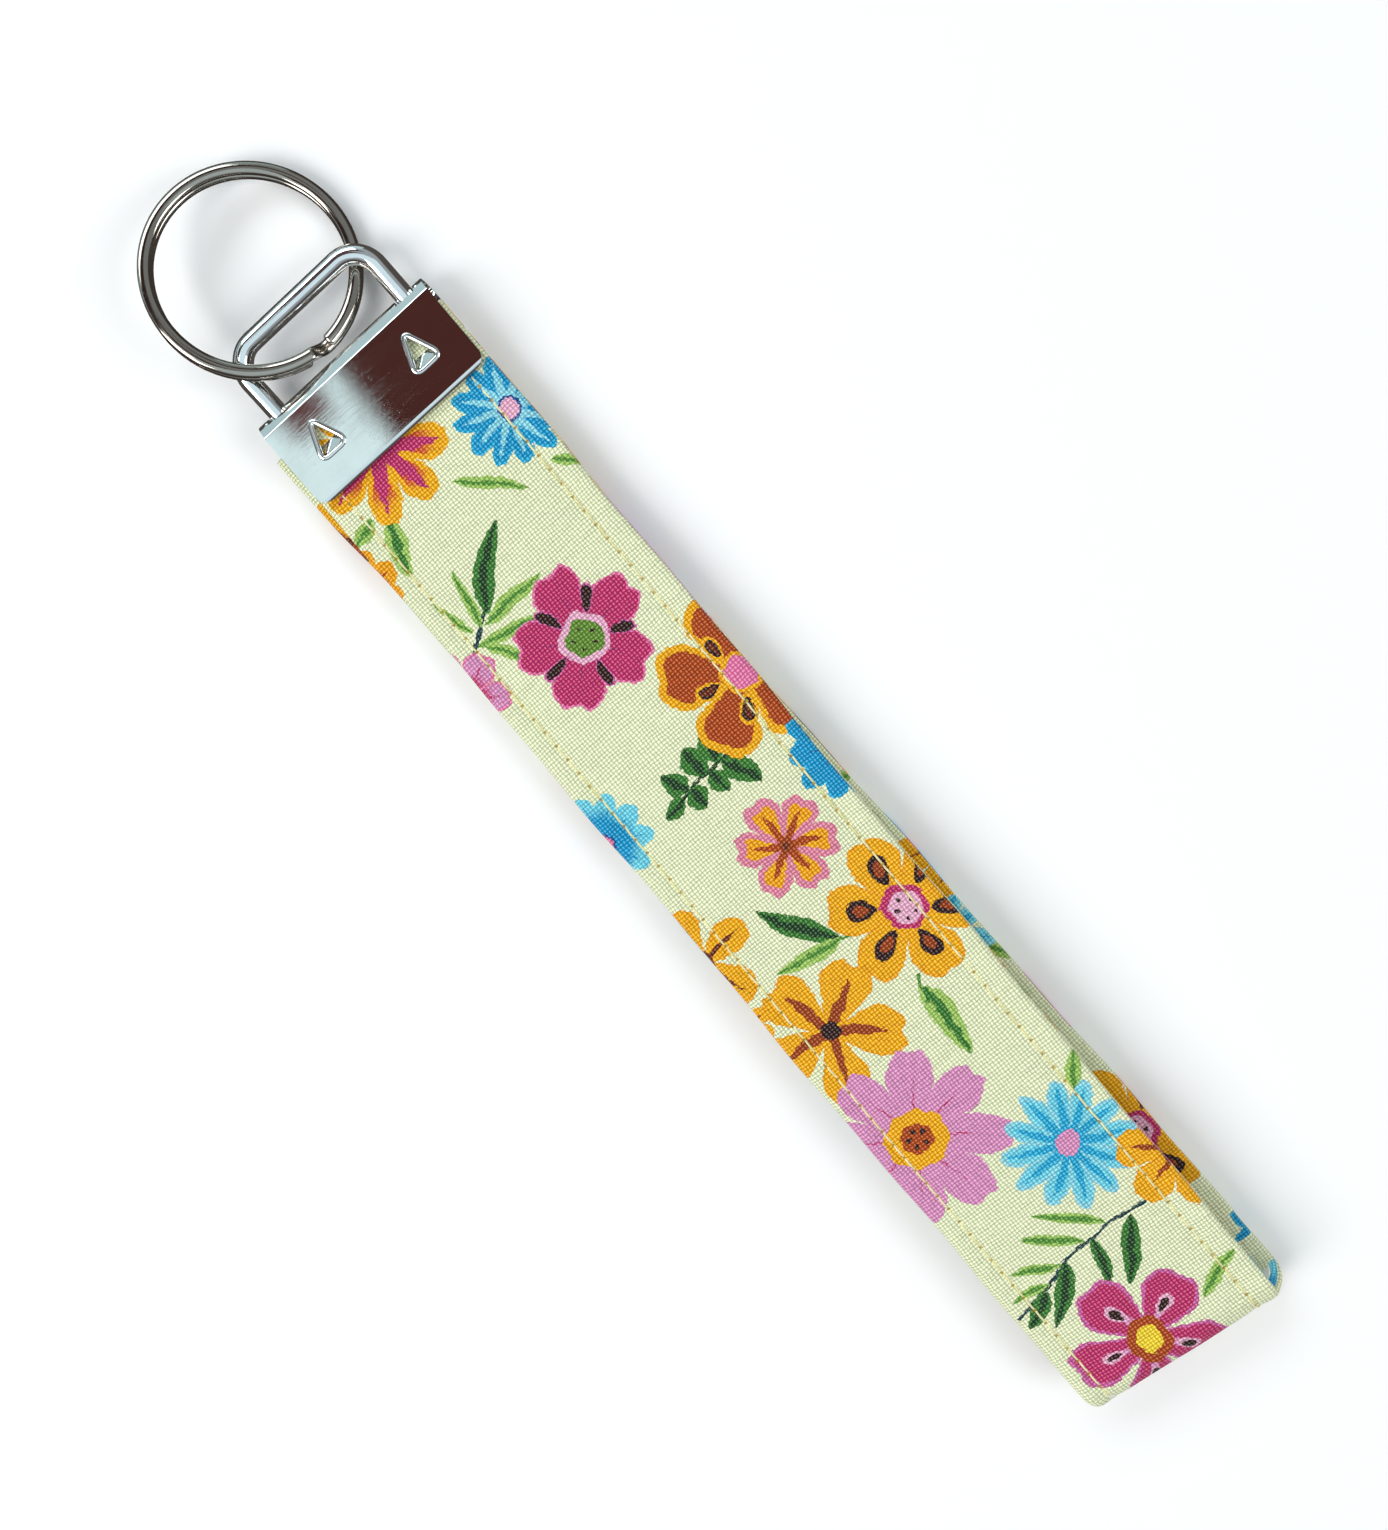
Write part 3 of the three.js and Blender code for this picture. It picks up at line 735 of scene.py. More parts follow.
def layPrint(piece, girth, closing, stops):
    mesh = piece.data
    columns = len(girth)
    quads = (len(stops) - 1) * columns
    row, column = np.divmod(np.arange(quads), columns)
    corners = [(row, column), (row + 1, column), (row + 1, column + 1), (row, column + 1)]
    wide = np.append(girth, closing)
    full = wide[-1] - wide[0]
    u = np.stack([wide[c] for _, c in corners], 1)
    u = np.where(u.mean(1, keepdims=True) > closing - wrap["left"], u - full, u)
    v = np.stack([strap["top"] - stops[r] for r, _ in corners], 1)
    yarn = np.stack([u, v], -1)
    inner = u.mean(1) > wrap["inner"]
    onBack = v.mean(1) < -printRepeat - 0.5
    u = np.where(inner[:, None], u - wrap["innerShift"][0], u)
    u = np.where(onBack[:, None], -u, u)
    v = np.where(onBack[:, None], v + printRepeat, v)
    v = np.where(inner[:, None], -np.mod(-v + wrap["innerShift"][1], printRepeat), v)
    jump = np.ptp(v, axis=1) > 50
    v = np.where(jump[:, None] & (v > -20), v - printRepeat, v)
    flat = np.stack([u, v], -1)
    for name, values in (("print", flat), ("yarn", yarn)):
        layer = mesh.uv_layers.new(name=name)
        packed = np.zeros(len(mesh.loops) * 2, np.float32)
        packed[: quads * 8] = values.reshape(-1)
        layer.data.foreach_set("uv", packed)


layPrint(strapPiece, girth, closing, stops)
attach(strapPiece, "strap")
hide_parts("fabric_strip")
print("strap:", len(strapPiece.data.polygons), "faces")


# Topstitching

stitching = {
    "length": 1.62,
    "thread": 0.27,
    "sag": 0.24,  # how far a stitch's ends dive into their holes
    "wobble": 0.05,
    "seed": 7,
}


def makeThreadMaterial():
    material, tree, shader = newMaterial("sewingThread")
    spot = addNode(tree, "ShaderNodeTexCoord").outputs["Object"]
    wave = {"Vector": spot, "Scale": 900.0, "Distortion": 0.6}
    twist = addNode(tree, "ShaderNodeTexWave", wave, bands_direction="DIAGONAL").outputs["Fac"]
    tone = remap(tree, noise(tree, spot, 260.0, 2.0), 0.35, 0.65, 0.0, 1.0)
    colour = mixColours(tree, tone, dye(232, 226, 160), dye(244, 240, 196))
    # Painted shade: the thread is darker in the grooves of its twist.
    colour = mixColours(tree, remap(tree, twist, 0.0, 1.0, 0.3, 0.0), colour, dye(204, 190, 116))
    dress(tree, shader, {"Base Color": colour, "Roughness": 0.55, "Sheen Weight": 0.2}, twist, 0.00004, 0.7)
    return material


def stitchTree():
    tree = bpy.data.node_groups.new("stitchRow", "GeometryNodeTree")
    sockets = {}
    for label, kind in (("Geometry", "Geometry"), ("Stitch Length", "Float"), ("Thread Thickness", "Float"),
                        ("Sag", "Float"), ("Wobble", "Float"), ("Seed", "Int"), ("Thread", "Material")):
        sockets[label] = tree.interface.new_socket(
            name=label, in_out="INPUT", socket_type="NodeSocket" + kind)
    tree.interface.new_socket(name="Geometry", in_out="OUTPUT", socket_type="NodeSocketGeometry")
    given = tree.nodes.new("NodeGroupInput").outputs

    def onAxis(axis, value):
        return addNode(tree, "ShaderNodeCombineXYZ", {axis: value}).outputs[0]

    def geometry(kind, inputs):
        return addNode(tree, "GeometryNode" + kind, inputs).outputs[0]

    def seatVector(name):
        node = addNode(tree, "GeometryNodeInputNamedAttribute", {"Name": name}, data_type="FLOAT_VECTOR")
        return node.outputs[0]

    halfLength = times(tree, given["Stitch Length"], 0.5)
    start, stop = onAxis(1, times(tree, halfLength, -1.0)), onAxis(1, halfLength)
    line = geometry("CurvePrimitiveLine", {"Start": start, "End": stop})
    bent = geometry("ResampleCurve", {"Curve": line, "Count": 7})
    place = tree.nodes.new("GeometryNodeInputPosition").outputs[0]
    along = splitVector(tree, place)[1]
    share = maths(tree, "POWER", maths(tree, "ABSOLUTE", maths(tree, "DIVIDE", along, halfLength)), 2.6)
    dive = times(tree, times(tree, share, given["Sag"]), -1.0)
    arched = geometry("SetPosition", {"Geometry": bent, "Offset": onAxis(2, dive)})
    halfThread = times(tree, given["Thread Thickness"], 0.5)
    profile = geometry("CurvePrimitiveCircle", {"Resolution": 7, "Radius": halfThread})
    stitch = geometry("CurveToMesh", {"Curve": arched, "Profile Curve": profile, "Fill Caps": True})
    turned = addNode(tree, "FunctionNodeAlignRotationToVector", {"Vector": seatVector("run")}, axis="Y")
    upright = {"Rotation": turned.outputs[0], "Vector": seatVector("rise")}
    turned = addNode(tree, "FunctionNodeAlignRotationToVector", upright, axis="Z", pivot_axis="Y")
    spread = given["Wobble"]
    jitter = addNode(tree, "FunctionNodeRandomValue", {"Seed": given["Seed"]}, data_type="FLOAT_VECTOR")
    plug(tree, onAxis(2, spread), jitter.inputs["Max"])
    plug(tree, onAxis(2, times(tree, spread, -1.0)), jitter.inputs["Min"])
    wobble = addNode(tree, "FunctionNodeEulerToRotation", {0: jitter.outputs[0]})
    turns = {0: turned.outputs[0], 1: wobble.outputs[0]}
    rotated = addNode(tree, "FunctionNodeRotateRotation", turns, rotation_space="LOCAL").outputs[0]
    seats = {"Points": given["Geometry"], "Instance": stitch, "Rotation": rotated}
    real = geometry("RealizeInstances", {"Geometry": geometry("InstanceOnPoints", seats)})
    smooth = geometry("SetShadeSmooth", {"Geometry": real})
    dressed = geometry("SetMaterial", {"Geometry": smooth, "Material": given["Thread"]})
    tree.links.new(dressed, tree.nodes.new("NodeGroupOutput").inputs[0])
    return tree, sockets


def stitchSeats(lineX, face):  # a stitch's middle, heading and upright, one for each stitch
    spots, outward = strapPath(strap["stitchPitch"] / 8)[1:]
    middles = slice(4, None, 8)
    lift = face * (halfPly - strap["channelDepth"] * 0.45)
    y = spots[:, 0] + outward[:, 0] * lift
    z = spots[:, 1] + outward[:, 1] * lift
    line = skew(np.stack([np.full_like(y, lineX), y, z], 1))
    heading = np.gradient(line, axis=0)
    upright = np.stack([np.zeros(len(y)), outward[:, 0], outward[:, 1]], 1) * face
    return line[middles], heading[middles], upright[middles]


def makeStitches(name, lineX, face, tree, sockets, material):
    line, heading, upright = stitchSeats(lineX, face)
    mesh = bpy.data.meshes.new(name + "_seats")
    mesh.from_pydata([tuple(p) for p in toFrame(line)], [], [])
    for label, values in (("run", heading), ("rise", upright)):
        attribute = mesh.attributes.new(label, "FLOAT_VECTOR", "POINT")
        attribute.data.foreach_set("vector", values.astype(np.float32).ravel())
    seats = bpy.data.objects.new(name + "_seats", mesh)
    scene.collection.objects.link(seats)
    sewing = seats.modifiers.new("stitches", "NODES")
    sewing.node_group = tree
    values = {
        "Stitch Length": stitching["length"] * 0.001, "Thread Thickness": stitching["thread"] * 0.001,
        "Sag": stitching["sag"] * 0.001, "Wobble": stitching["wobble"], "Seed": stitching["seed"],
        "Thread": material,
    }
    for label, value in values.items():
        sewing[sockets[label].identifier] = value
    depsgraph = bpy.context.evaluated_depsgraph_get()
    sewn = bpy.data.meshes.new_from_object(seats.evaluated_get(depsgraph))
    seats.modifiers.remove(sewing)
    bpy.data.objects.remove(seats)
    sewn.name = name
    piece = bpy.data.objects.new(name, sewn)
    scene.collection.objects.link(piece)
    return piece


threadMaterial = makeThreadMaterial()
stitchNodes, stitchSockets = stitchTree()
for sideName, lineX in zip(("left", "right"), strap["stitchLines"]):
    for threadName, face in (("needle", 1), ("bobbin", -1)):
        seamName = f"{threadName}_stitches_{sideName}"
        seam = makeStitches(seamName, lineX, face, stitchNodes, stitchSockets, threadMaterial)
        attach(seam, "strap")
        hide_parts(f"{threadName}_thread_{sideName}")
print("stitches: four rows")


# Interfacing

def makeInterfacing():
    material, tree, shader = newMaterial("nonWoven")
    spot = addNode(tree, "ShaderNodeTexCoord").outputs["Object"]
    fibres = noise(tree, vectorMaths(tree, "MULTIPLY", spot, (900, 2600, 900)), 1.0, 4.0, 0.7)
    tone = remap(tree, fibres, 0.3, 0.7, 0, 1)
    dress(tree, shader, {
        "Base Color": mixColours(tree, tone, dye(226, 225, 218), dye(246, 245, 240)),
        "Roughness": remap(tree, fibres, 0.3, 0.7, 0.85, 0.98),
    }, fibres, 0.00008, 0.7)
    return material


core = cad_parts["interfacing_core"]
for coreSlot in core.material_slots:
    coreSlot.material = makeInterfacing()


# Metal

def makePlating(name, colour, roughness, stretch, wear):
    material, tree, shader = newMaterial(name)
    spot = addNode(tree, "ShaderNodeTexCoord").outputs["Object"]
    scratches = noise(tree, vectorMaths(tree, "MULTIPLY", spot, stretch), 1.0, 5.0, 0.65)
    smears = noise(tree, spot, 220.0, 3.0, 0.6)
    pitted = {"Vector": spot, "Scale": 1500.0}
    pits = addNode(tree, "ShaderNodeTexVoronoi", pitted, feature="F1").outputs["Distance"]
    duller = tuple(c * 0.92 for c in colour[:3]) + (1.0,)
    worn = remap(tree, scratches, 0.45, 0.75, roughness, roughness + wear)
    smeared = remap(tree, smears, 0.45, 0.75, 0.0, wear * 0.7)
    relief = timesPlus(tree, remap(tree, pits, 0.0, 0.12, -1.0, 0.0), 0.5, scratches)
    dress(tree, shader, {
        "Base Color": mixColours(tree, remap(tree, smears, 0.35, 0.7, 0.0, 1.0), colour, duller),
        "Metallic": 1.0,
        "Roughness": plus(tree, worn, smeared),
    }, relief, 0.000006, 0.3)
    return material


clampPlating = makePlating("clampNickel", (0.90, 0.92, 0.92, 1), 0.02, (260, 5200, 260), 0.05)
loopPlating = makePlating("loopNickel", (0.94, 0.96, 0.97, 1), 0.06, (900, 3200, 900), 0.08)
# Painted reflection: the ring's steel colour is made darker and browner, standing in for the dark room it
# reflects.
darkenedRingPlating = makePlating("ringSteelDarkened", (0.47, 0.43, 0.38, 1), 0.07, (2400, 900, 2400), 0.09)


def sweep(centres, normals, binormals, section, scale, closed):
    centres, normals, binormals = (np.asarray(a, float) for a in (centres, normals, binormals))
    rings = (centres[:, None] + normals[:, None] * (section[None, :, 0, None] * scale[:, None, None])
             + binormals[:, None] * (section[None, :, 1, None] * scale[:, None, None]))
    points = rings.reshape(-1, 3)
    rows, columns = len(centres), len(section)
    faces = ribbonFaces(rows, columns).tolist()
    if closed:
        last = (rows - 1) * columns
        faces += [[last + c, c, (c + 1) % columns, last + (c + 1) % columns] for c in range(columns)]
    else:
        faces += [list(range(columns)), [(rows - 1) * columns + c for c in reversed(range(columns))]]
    return points, faces


def oval(halfWide, halfHigh, sides, squareness=2.0):
    angle = np.linspace(0, 2 * np.pi, sides, endpoint=False)
    cosine, sine = np.cos(angle), np.sin(angle)
    power = 2 / squareness
    return np.stack([halfWide * np.sign(cosine) * np.abs(cosine) ** power,
                     halfHigh * np.sign(sine) * np.abs(sine) ** power], 1)


def roundedEnds(run, radius):  # how wide the wire is near its two ends
    near = np.minimum(run - run[0], run[-1] - run)
    share = np.clip(near / radius, 0.0, 1.0)
    return np.sqrt(np.clip(1 - (1 - share) ** 2, 0.02, 1))


def faceOutwards(piece):
    shape = bmesh.new()
    shape.from_mesh(piece.data)
    bmesh.ops.recalc_face_normals(shape, faces=shape.faces)
    if shape.calc_volume(signed=True) < 0:
        bmesh.ops.reverse_faces(shape, faces=shape.faces)
    shape.to_mesh(piece.data)
    shape.free()


# Wire loop

wireLoop = {
    "wire": 2.4,
    "legSpacing": 20.0,
    "pivotY": -0.6,
    "reach": 9.5,
    "corner": 3.3,
    "barCorner": 1.5,
    "tilt": 8.8,
    "butt": 0.15,
}


def loopLine():
    half, reach = wireLoop["legSpacing"] / 2, wireLoop["reach"]
    corner, small = wireLoop["corner"], wireLoop["barCorner"]
    points = []

    def arc(cx, cy, radius, fromAngle, toAngle, count):
        for angle in np.linspace(fromAngle, toAngle, count):
            points.append((cx + radius * math.cos(angle), cy + radius * math.sin(angle)))

    def straight(x0, y0, x1, y1, count):
        for share in np.linspace(0, 1, count, endpoint=False):
            points.append((x0 + (x1 - x0) * share, y0 + (y1 - y0) * share))

    quarter = math.pi / 2
    straight(wireLoop["butt"], 0, half - small, 0, 24)
    arc(half - small, small, small, -quarter, 0, 12)
    straight(half, small, half, reach - corner, 14)
    arc(half - corner, reach - corner, corner, 0, quarter, 18)
    straight(half - corner, reach, corner - half, reach, 30)
    arc(corner - half, reach - corner, corner, quarter, 2 * quarter, 18)
    straight(-half, reach - corner, -half, small, 14)
    arc(small - half, small, small, 2 * quarter, 3 * quarter, 12)
    straight(small - half, 0, -wireLoop["butt"], 0, 24)
    points.append((-wireLoop["butt"], 0))
    line = np.array(points)
    keep = np.concatenate([[True], np.hypot(*np.diff(line, axis=0).T) > 1e-4])
    return line[keep]


def makeWireLoop(material):
    line = loopLine()
    tilt = math.radians(wireLoop["tilt"])

    def turn(flat, height):  # from the loop's own plane into the drawing
        return np.stack([flat[:, 0], flat[:, 1] * math.cos(tilt) - height * math.sin(tilt),
                         flat[:, 1] * math.sin(tilt) + height * math.cos(tilt)], 1)

    zeros, ones = np.zeros(len(line)), np.ones(len(line))
    centres = turn(line, zeros) + [0, wireLoop["pivotY"], clampMiddle]
    sideways = turn(rightwards(headings(line)), zeros)
    upward = turn(np.zeros_like(line), ones)
    section = oval(wireLoop["wire"] / 2, wireLoop["wire"] / 2, 24)
    points, faces = sweep(centres, sideways, upward, section, roundedEnds(runAlong(line), 0.25), False)
    piece = addPiece("bent_wire_loop", points, faces, material)
    faceOutwards(piece)
    return piece


loopPiece = makeWireLoop(loopPlating)
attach(loopPiece, "loop")
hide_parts("wire_loop")
print("wire loop:", len(loopPiece.data.polygons), "faces")


# Split ring

splitRing = {
    "diameter": 25.0,
    "wire": 1.6,
    "coil": 1.0,
    "pitch": 1.2,
    "tilt": 15.2,
    "centre": (-1.4, 14.5),
    "endGap": 6.0,
    "step": 5.2,
    "squareness": 2.15,  # the wire is pressed a little flat
}


def makeSplitRing(material):
    radius = (splitRing["diameter"] - splitRing["wire"]) / 2
    gap, step = math.radians(splitRing["endGap"]), math.radians(splitRing["step"])
    turn = np.linspace(gap, 4 * math.pi - gap, 420)
    extra = np.concatenate([gap + np.linspace(0, 0.05, 8), 4 * math.pi - gap - np.linspace(0, 0.05, 8),
                            2 * math.pi + np.linspace(-step, step, 12)])
    turn = np.unique(np.concatenate([turn, extra]))
    angle = turn - math.pi / 2
    height = splitRing["pitch"] * (0.5 - easing(turn, 2 * math.pi - step, 2 * math.pi + step))
    tilt = math.radians(splitRing["tilt"])
    halfStack = (splitRing["pitch"] + splitRing["coil"]) / 2
    rest = splitRing["diameter"] / 2 * math.sin(tilt) + halfStack * math.cos(tilt)

    def tip(x, y, z):
        sine, cosine = math.sin(tilt), math.cos(tilt)
        return np.stack([x * cosine + z * sine, y, -x * sine + z * cosine], 1)

    zeros, ones = np.zeros(len(turn)), np.ones(len(turn))
    centres = tip(radius * np.cos(angle), radius * np.sin(angle), height) + [*splitRing["centre"], rest]
    outward = tip(np.cos(angle), np.sin(angle), zeros)
    upward = tip(zeros, zeros, ones)
    section = oval(splitRing["wire"] / 2, splitRing["coil"] / 2, 18, splitRing["squareness"])
    points, faces = sweep(centres, outward, upward, section, roundedEnds(turn * radius, 0.45), False)
    piece = addPiece("coiled_split_ring", points, faces, material)
    faceOutwards(piece)
    return piece


ringPiece = makeSplitRing(darkenedRingPlating)
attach(ringPiece, "ring")
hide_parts("split_ring")
print("split ring:", len(ringPiece.data.polygons), "faces")


# Clamp

clamp = {
    "width": 25.4,
    "lip": -10.9,
    "sheet": 0.6,
    "lipBend": 0.6,
    "lipDrop": 0.26,
    "corner": 1.8,
    "spacing": 0.05,  # between the points its bend is worked out on
    "clearance": 0.02,  # the trimming arcs end this far outside the edges
    "foldStart": -0.6,
    "foldSlope": 0.5,  # the shoulder falls this much for each millimetre before the fold turns under
    "fullness": 7.0,  # how squarely it then goes round
    "softness": 0.12,  # how gently it turns at its creases
    "slot": (1.4, 2.3),  # half-width and half-height of a leg slot
    "edge": 0.1,  # rounding of its cut edges
    "rim": (0.36, 0.3),  # half-width and half-height of the rolled rim round each window
    "rimRise": 0.13,
    "windowOffset": 7.3,
    "windowWidth": 3.9,
    "windowApex": -2.35,
    "windowBase": -6.9,
    "windowCorner": 1.3,
    "prongGap": 0.25,
    "prongThickness": 0.45,
    "prongLength": 2.1,
    "prongDip": 1.1,
}


def gentle(line, reach):  # a line with its corners eased over that many points
    weights = np.exp(-0.5 * (np.arange(-3 * reach, 3 * reach + 1) / reach) ** 2)
    weights /= weights.sum()
    before = 2 * line[0] - line[1 : 3 * reach + 1][::-1]
    after = 2 * line[-1] - line[-3 * reach - 1 : -1][::-1]
    padded = np.concatenate([before, line, after])
    return np.stack([np.convolve(padded[:, axis], weights, "valid") for axis in (0, 1)], 1)


def spaced(line, step):
    run = runAlong(line)
    stops = np.linspace(0, run[-1], int(run[-1] / step) + 1)
    return np.stack([np.interp(stops, run, line[:, axis]) for axis in (0, 1)], 1)


def thinned(line, turn):  # drops points on straight runs
    kept, heading = [0], None
    for index in range(1, len(line) - 1):
        step = line[index + 1] - line[index]
        angle = math.atan2(step[1], step[0])
        if heading is None or abs(math.remainder(angle - heading, 2 * math.pi)) > turn:
            kept.append(index)
            heading = angle
    return kept + [len(line) - 1]


def clampSection():
    half = clampMiddle
    lipShare = np.linspace(0, 1, 9)
    lipHeight = half - clamp["lipDrop"] * (1 - lipShare) ** 3
    lip = np.stack([clamp["lip"] + clamp["lipBend"] * lipShare, lipHeight], 1)
    bend = np.linspace(0, 1, 120)
    reach = foldTip - clamp["foldStart"]
    shoulder = clamp["foldSlope"] * reach
    foldHeight = half - shoulder * bend - (half - shoulder) * bend ** clamp["fullness"]
    fold = np.stack([clamp["foldStart"] + reach * bend, foldHeight], 1)
    front = np.concatenate([lip, fold])
    outer = spaced(np.concatenate([front, front[-2::-1] * [1, -1]]), clamp["spacing"])
    outer = gentle(outer, int(clamp["softness"] / clamp["spacing"]))
    inner = outer + rightwards(headings(outer)) * clamp["sheet"]
    gap = np.linalg.norm(inner[:, None] - outer[None], axis=2).min(axis=1)
    inner = inner[gap > 0.98 * clamp["sheet"]]  # without the loops that form inside tight bends
    turn = math.radians(5)
    return np.concatenate([outer[thinned(outer, turn)], inner[thinned(inner, turn)][::-1]])


def prism(name, outline, place, low, high):  # a closed solid between two levels of an outline
    count = len(outline)
    points = np.concatenate([place(outline, low), place(outline, high)])
    faces = [list(range(count))[::-1], list(range(count, 2 * count))]
    faces += [[i, (i + 1) % count, (i + 1) % count + count, i + count] for i in range(count)]
    piece = addPiece(name, points, faces, None, smooth=False)
    faceOutwards(piece)
    return piece


def standing(outline, level):
    return np.column_stack([outline, np.full(len(outline), level)])


def lying(outline, level):
    return np.column_stack([np.full(len(outline), level), outline[:, 0], outline[:, 1] + clampMiddle])


def roundedOutline(corners, radii, count=8):
    corners, line = np.array(corners, float), []
    for index, radius in enumerate(radii):
        here, before, after = corners[index], corners[index - 1], corners[(index + 1) % len(corners)]
        into = here + (before - here) / np.linalg.norm(before - here) * radius
        out = here + (after - here) / np.linalg.norm(after - here) * radius
        for share in np.linspace(0, 1, count if radius else 1):
            line.append((1 - share) ** 2 * into + 2 * share * (1 - share) * here + share**2 * out)
    return np.array(line)


def windowOutline(side, grow=0.0):
    half = clamp["windowWidth"] / 2 + grow
    cx = side * clamp["windowOffset"]
    apex, base = clamp["windowApex"] + 1.5 * grow, clamp["windowBase"] - grow
    corners = [(cx, apex), (cx - half, base), (cx + half, base)]
    return roundedOutline(corners, [clamp["windowCorner"]] * 3)


def windowRim(side, face):
    outline = windowOutline(side, 0.12)
    line = spaced(np.concatenate([outline, outline[:1]]), 0.14)[:-1]
    ahead = np.roll(line, -1, axis=0) - np.roll(line, 1, axis=0)
    ahead /= np.hypot(*ahead.T)[:, None]
    wide, high = clamp["rim"]
    level = clampMiddle + face * (clampMiddle - high + (clamp["rimRise"] if face > 0 else 0))
    sideways = np.column_stack([ahead[:, 1], -ahead[:, 0], np.zeros(len(line))])
    upward = np.tile([0.0, 0.0, 1.0], (len(line), 1))
    section = oval(wide, high, 16)
    return sweep(standing(line, level), sideways, upward, section, np.ones(len(line)), True)


def prong(side, face):  # the tongue pressed in from the window, still joined along its base
    tip = clamp["windowBase"] + clamp["prongLength"]
    cx = side * clamp["windowOffset"]
    outline = windowOutline(side, -clamp["prongGap"])
    outline = np.array([(x, min(y, tip)) for x, y in outline if y < tip or abs(x - cx) > 0.1])
    dip = clamp["prongDip"] * (outline[:, 1] - clamp["windowBase"]) / clamp["prongLength"] + 0.16
    top = clampMiddle + face * (clampMiddle - dip)
    count = len(outline)
    under = top - face * clamp["prongThickness"]
    points = np.concatenate([np.column_stack([outline, top]), np.column_stack([outline, under])])
    faces = [list(range(count)), list(range(count, 2 * count))[::-1]]
    faces += [[i, i + count, (i + 1) % count + count, (i + 1) % count] for i in range(count)]
    return points, faces


def trimOutline(side):  # what comes off a corner of the lip to round it
    reach, spare = clamp["corner"], clamp["clearance"]
    edge, lip = side * (clamp["width"] / 2 + spare), clamp["lip"] - spare
    share = np.linspace(0, 1, 14)[:, None]
    into, out = np.array([edge, lip + reach]), np.array([edge - side * reach, lip])
    arc = (1 - share) ** 2 * into + 2 * share * (1 - share) * np.array([edge, lip]) + share**2 * out
    return np.concatenate([arc, [(out[0], lip - 1), (edge + side, lip - 1), (edge + side, into[1])]])


def makeClamp(material):
    half, reach = clamp["width"] / 2, foldTip + 1
    body = prism("folded_clamp", clampSection(), lying, -half, half)
    body.data.materials.clear()
    body.data.materials.append(material)
    tools = []
    for side in (-1, 1):
        leg, (wide, high) = side * wireLoop["legSpacing"] / 2, clamp["slot"]
        low = clamp["foldStart"] - 0.9
        corners = [(leg - wide, low), (leg + wide, low), (leg + wide, reach), (leg - wide, reach)]
        tools.append(prism("slot", np.array(corners), standing, clampMiddle - high, clampMiddle + high))
        tools.append(prism("window", windowOutline(side), standing, -1, clampThickness + 1))
        tools.append(prism("trim", trimOutline(side), standing, -1, clampThickness + 1))
    for tool in tools:
        cut = body.modifiers.new(tool.name, "BOOLEAN")
        cut.operation, cut.object, cut.solver = "DIFFERENCE", tool, "EXACT"
        cut.use_self = tool.name.startswith("trim")  # the body is lost without it
    rounding = body.modifiers.new("edges", "BEVEL")
    rounding.width = clamp["edge"] * 0.001
    rounding.segments = 3
    rounding.limit_method = "ANGLE"
    rounding.angle_limit = math.radians(38)
    body.modifiers.new("shading", "WEIGHTED_NORMAL").weight = 100
    depsgraph = bpy.context.evaluated_depsgraph_get()
    solid = bpy.data.meshes.new_from_object(body.evaluated_get(depsgraph))
    body.modifiers.clear()
    body.data = solid
    for tool in tools:
        bpy.data.objects.remove(tool)
    return body


def addShells(piece, shells, smooth):  # joins further closed shells to a piece
    for index, (points, faces) in enumerate(shells):
        shell = addPiece(f"shell{index}", points, faces, piece.data.materials[0], smooth)
        faceOutwards(shell)
        with bpy.context.temp_override(active_object=piece, selected_editable_objects=[piece, shell]):
            bpy.ops.object.join()


clampPiece = makeClamp(clampPlating)
for shellMaker, smooth in ((windowRim, True), (prong, False)):
    addShells(clampPiece, [shellMaker(side, face) for side in (-1, 1) for face in (-1, 1)], smooth)
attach(clampPiece, "strap")
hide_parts("clamp")
print("clamp:", len(clampPiece.data.polygons), "faces")


# Table, light and camera

def addStage(name, corners, colour, roughness=0.9, glow=0.0):
    mesh = bpy.data.meshes.new(name)
    mesh.from_pydata(corners, [], [(0, 1, 2, 3)])
    material, _, shader = newMaterial(name)
    shader.inputs["Base Color"].default_value = colour
    shader.inputs["Roughness"].default_value = roughness
    if glow:
        shader.inputs["Base Color"].default_value = (0, 0, 0, 1)
        shader.inputs["Specular IOR Level"].default_value = 0
        shader.inputs["Emission Color"].default_value = colour
        shader.inputs["Emission Strength"].default_value = glow
    mesh.materials.append(material)
    board = bpy.data.objects.new(name, mesh)
    scene.collection.objects.link(board)
    return board


tableCorners = [(-1.4, -1.4, 0), (1.4, -1.4, 0), (1.4, 1.4, 0), (-1.4, 1.4, 0)]
table = addStage("table", tableCorners, (0.93, 0.93, 0.93, 1))
table.visible_glossy = False
for index, (x, y) in enumerate(((1, 0), (0, 1), (-1, 0), (0, -1))):  # pale walls, for low views
    corners = [(1.4 * (x + k * y), 1.4 * (y - k * x), z) for k, z in ((-1, 0), (1, 0), (1, 3), (-1, 3))]
    wall = addStage(f"wall{index}", corners, (0.74, 0.76, 0.77, 1), 1.0, 1.0)
    wall.visible_glossy = wall.visible_diffuse = wall.visible_shadow = False


def addCard(name, low, high, level, colour, rise=0):  # seen only in the metal
    (x0, y0), (x1, y1) = low, high
    corners = toFrame([(x0, y0, level), (x0, y1, level + rise), (x1, y1, level + rise), (x1, y0, level)])
    card = addStage(name, [tuple(c) for c in corners], (*colour, 1), 1.0, 1.0)
    card.visible_camera = card.visible_diffuse = card.visible_shadow = False


addCard("brownCard", (-160, 120), (120, 420), 1000, (0.070, 0.022, 0.018))
addCard("paleCard", (-420, 120), (-160, 420), 1000, (0.72, 0.88, 0.89))
addCard("paleNear", (-700, -700), (500, 110), 1000, (0.66, 0.80, 0.86))
addCard("darkCeiling", (-900, 440), (600, 1200), 1000, (0.05, 0.032, 0.028))
addCard("darkFlag", (-214, 258), (-174, 330), 980, (0.12, 0.05, 0.05))


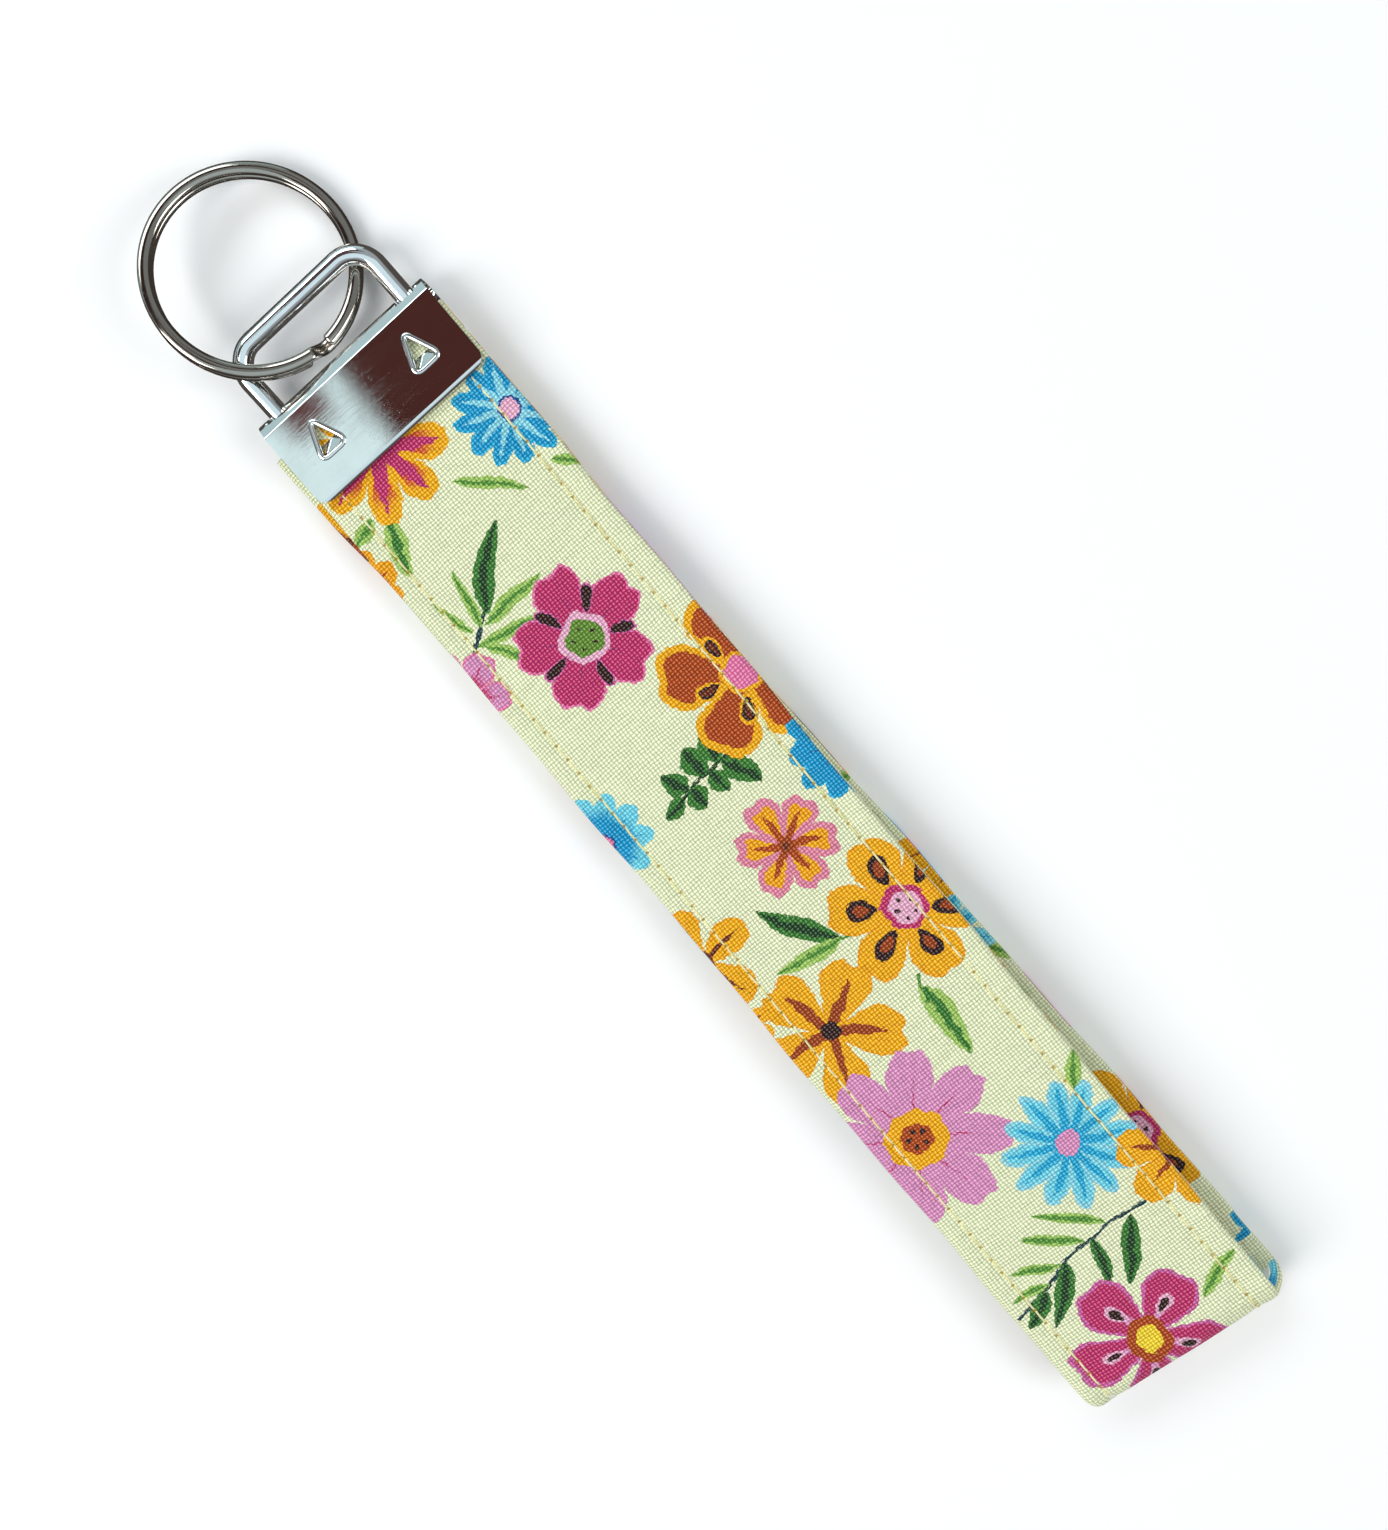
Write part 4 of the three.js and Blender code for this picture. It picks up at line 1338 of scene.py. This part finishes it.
def lightSky(strength):
    world = bpy.data.worlds.new("studio")
    scene.world = world
    world.use_nodes = True
    tree = world.node_tree
    backdrop = tree.nodes["Background"]
    direction = addNode(tree, "ShaderNodeTexCoord").outputs["Generated"]
    heading = addNode(tree, "ShaderNodeSeparateXYZ", {0: direction}).outputs
    behind = times(tree, maths(tree, "MAXIMUM", heading[1], 0.0), 0.34)  # lit lower down beyond the ring
    share = remap(tree, plus(tree, heading[2], behind), 0.38, 0.66, 0.0, 1.0, smooth=True)
    colour = mixColours(tree, share, (0.22, 0.19, 0.17, 1), (0.86, 0.94, 0.98, 1))
    tree.links.new(colour, backdrop.inputs[0])
    backdrop.inputs[1].default_value = strength


def addLamp(name, place, aim, size, power, colour=(1, 1, 1)):
    lamp = bpy.data.lights.new(name, "AREA")
    lamp.shape = "RECTANGLE"
    lamp.size, lamp.size_y = size
    lamp.energy = power
    lamp.color = colour
    holder = bpy.data.objects.new(name, lamp)
    scene.collection.objects.link(holder)
    holder.location = place
    holder.rotation_euler = (Vector(aim) - Vector(place)).to_track_quat("-Z", "Y").to_euler()
    holder.visible_camera = False


addCard("farWall", (-1300, 1200), (1300, 1201), 0, (0.46, 0.60, 0.62), rise=1000)
lightSky(0.36)
addLamp("keyLamp", (-0.85, 0.2, 0.95), (0, 0, 0), (0.7, 0.9), 11.0, (1.0, 0.99, 0.97))
addLamp("backLamp", (0.1, 1.1, 0.8), (0, 0, 0), (1.1, 0.5), 7.0, (0.90, 0.96, 1.0))
addLamp("fillLamp", (0.75, -0.8, 0.95), (0, 0, 0), (0.8, 0.6), 7.0, (0.97, 0.99, 1.0))

view = {
    "place": (26.9, -51.3, 182.8),
    "turn": (-0.1369, 0.0766, -0.7075),
    "lens": 36.5,
}
cameraData = bpy.data.cameras.new("camera")
cameraData.lens = view["lens"]
cameraData.sensor_width = 36
cameraData.clip_start, cameraData.clip_end = 0.005, 10
camera = bpy.data.objects.new("camera", cameraData)
scene.collection.objects.link(camera)
camera.location = toFrame(view["place"])
camera.rotation_euler = view["turn"]
scene.camera = camera
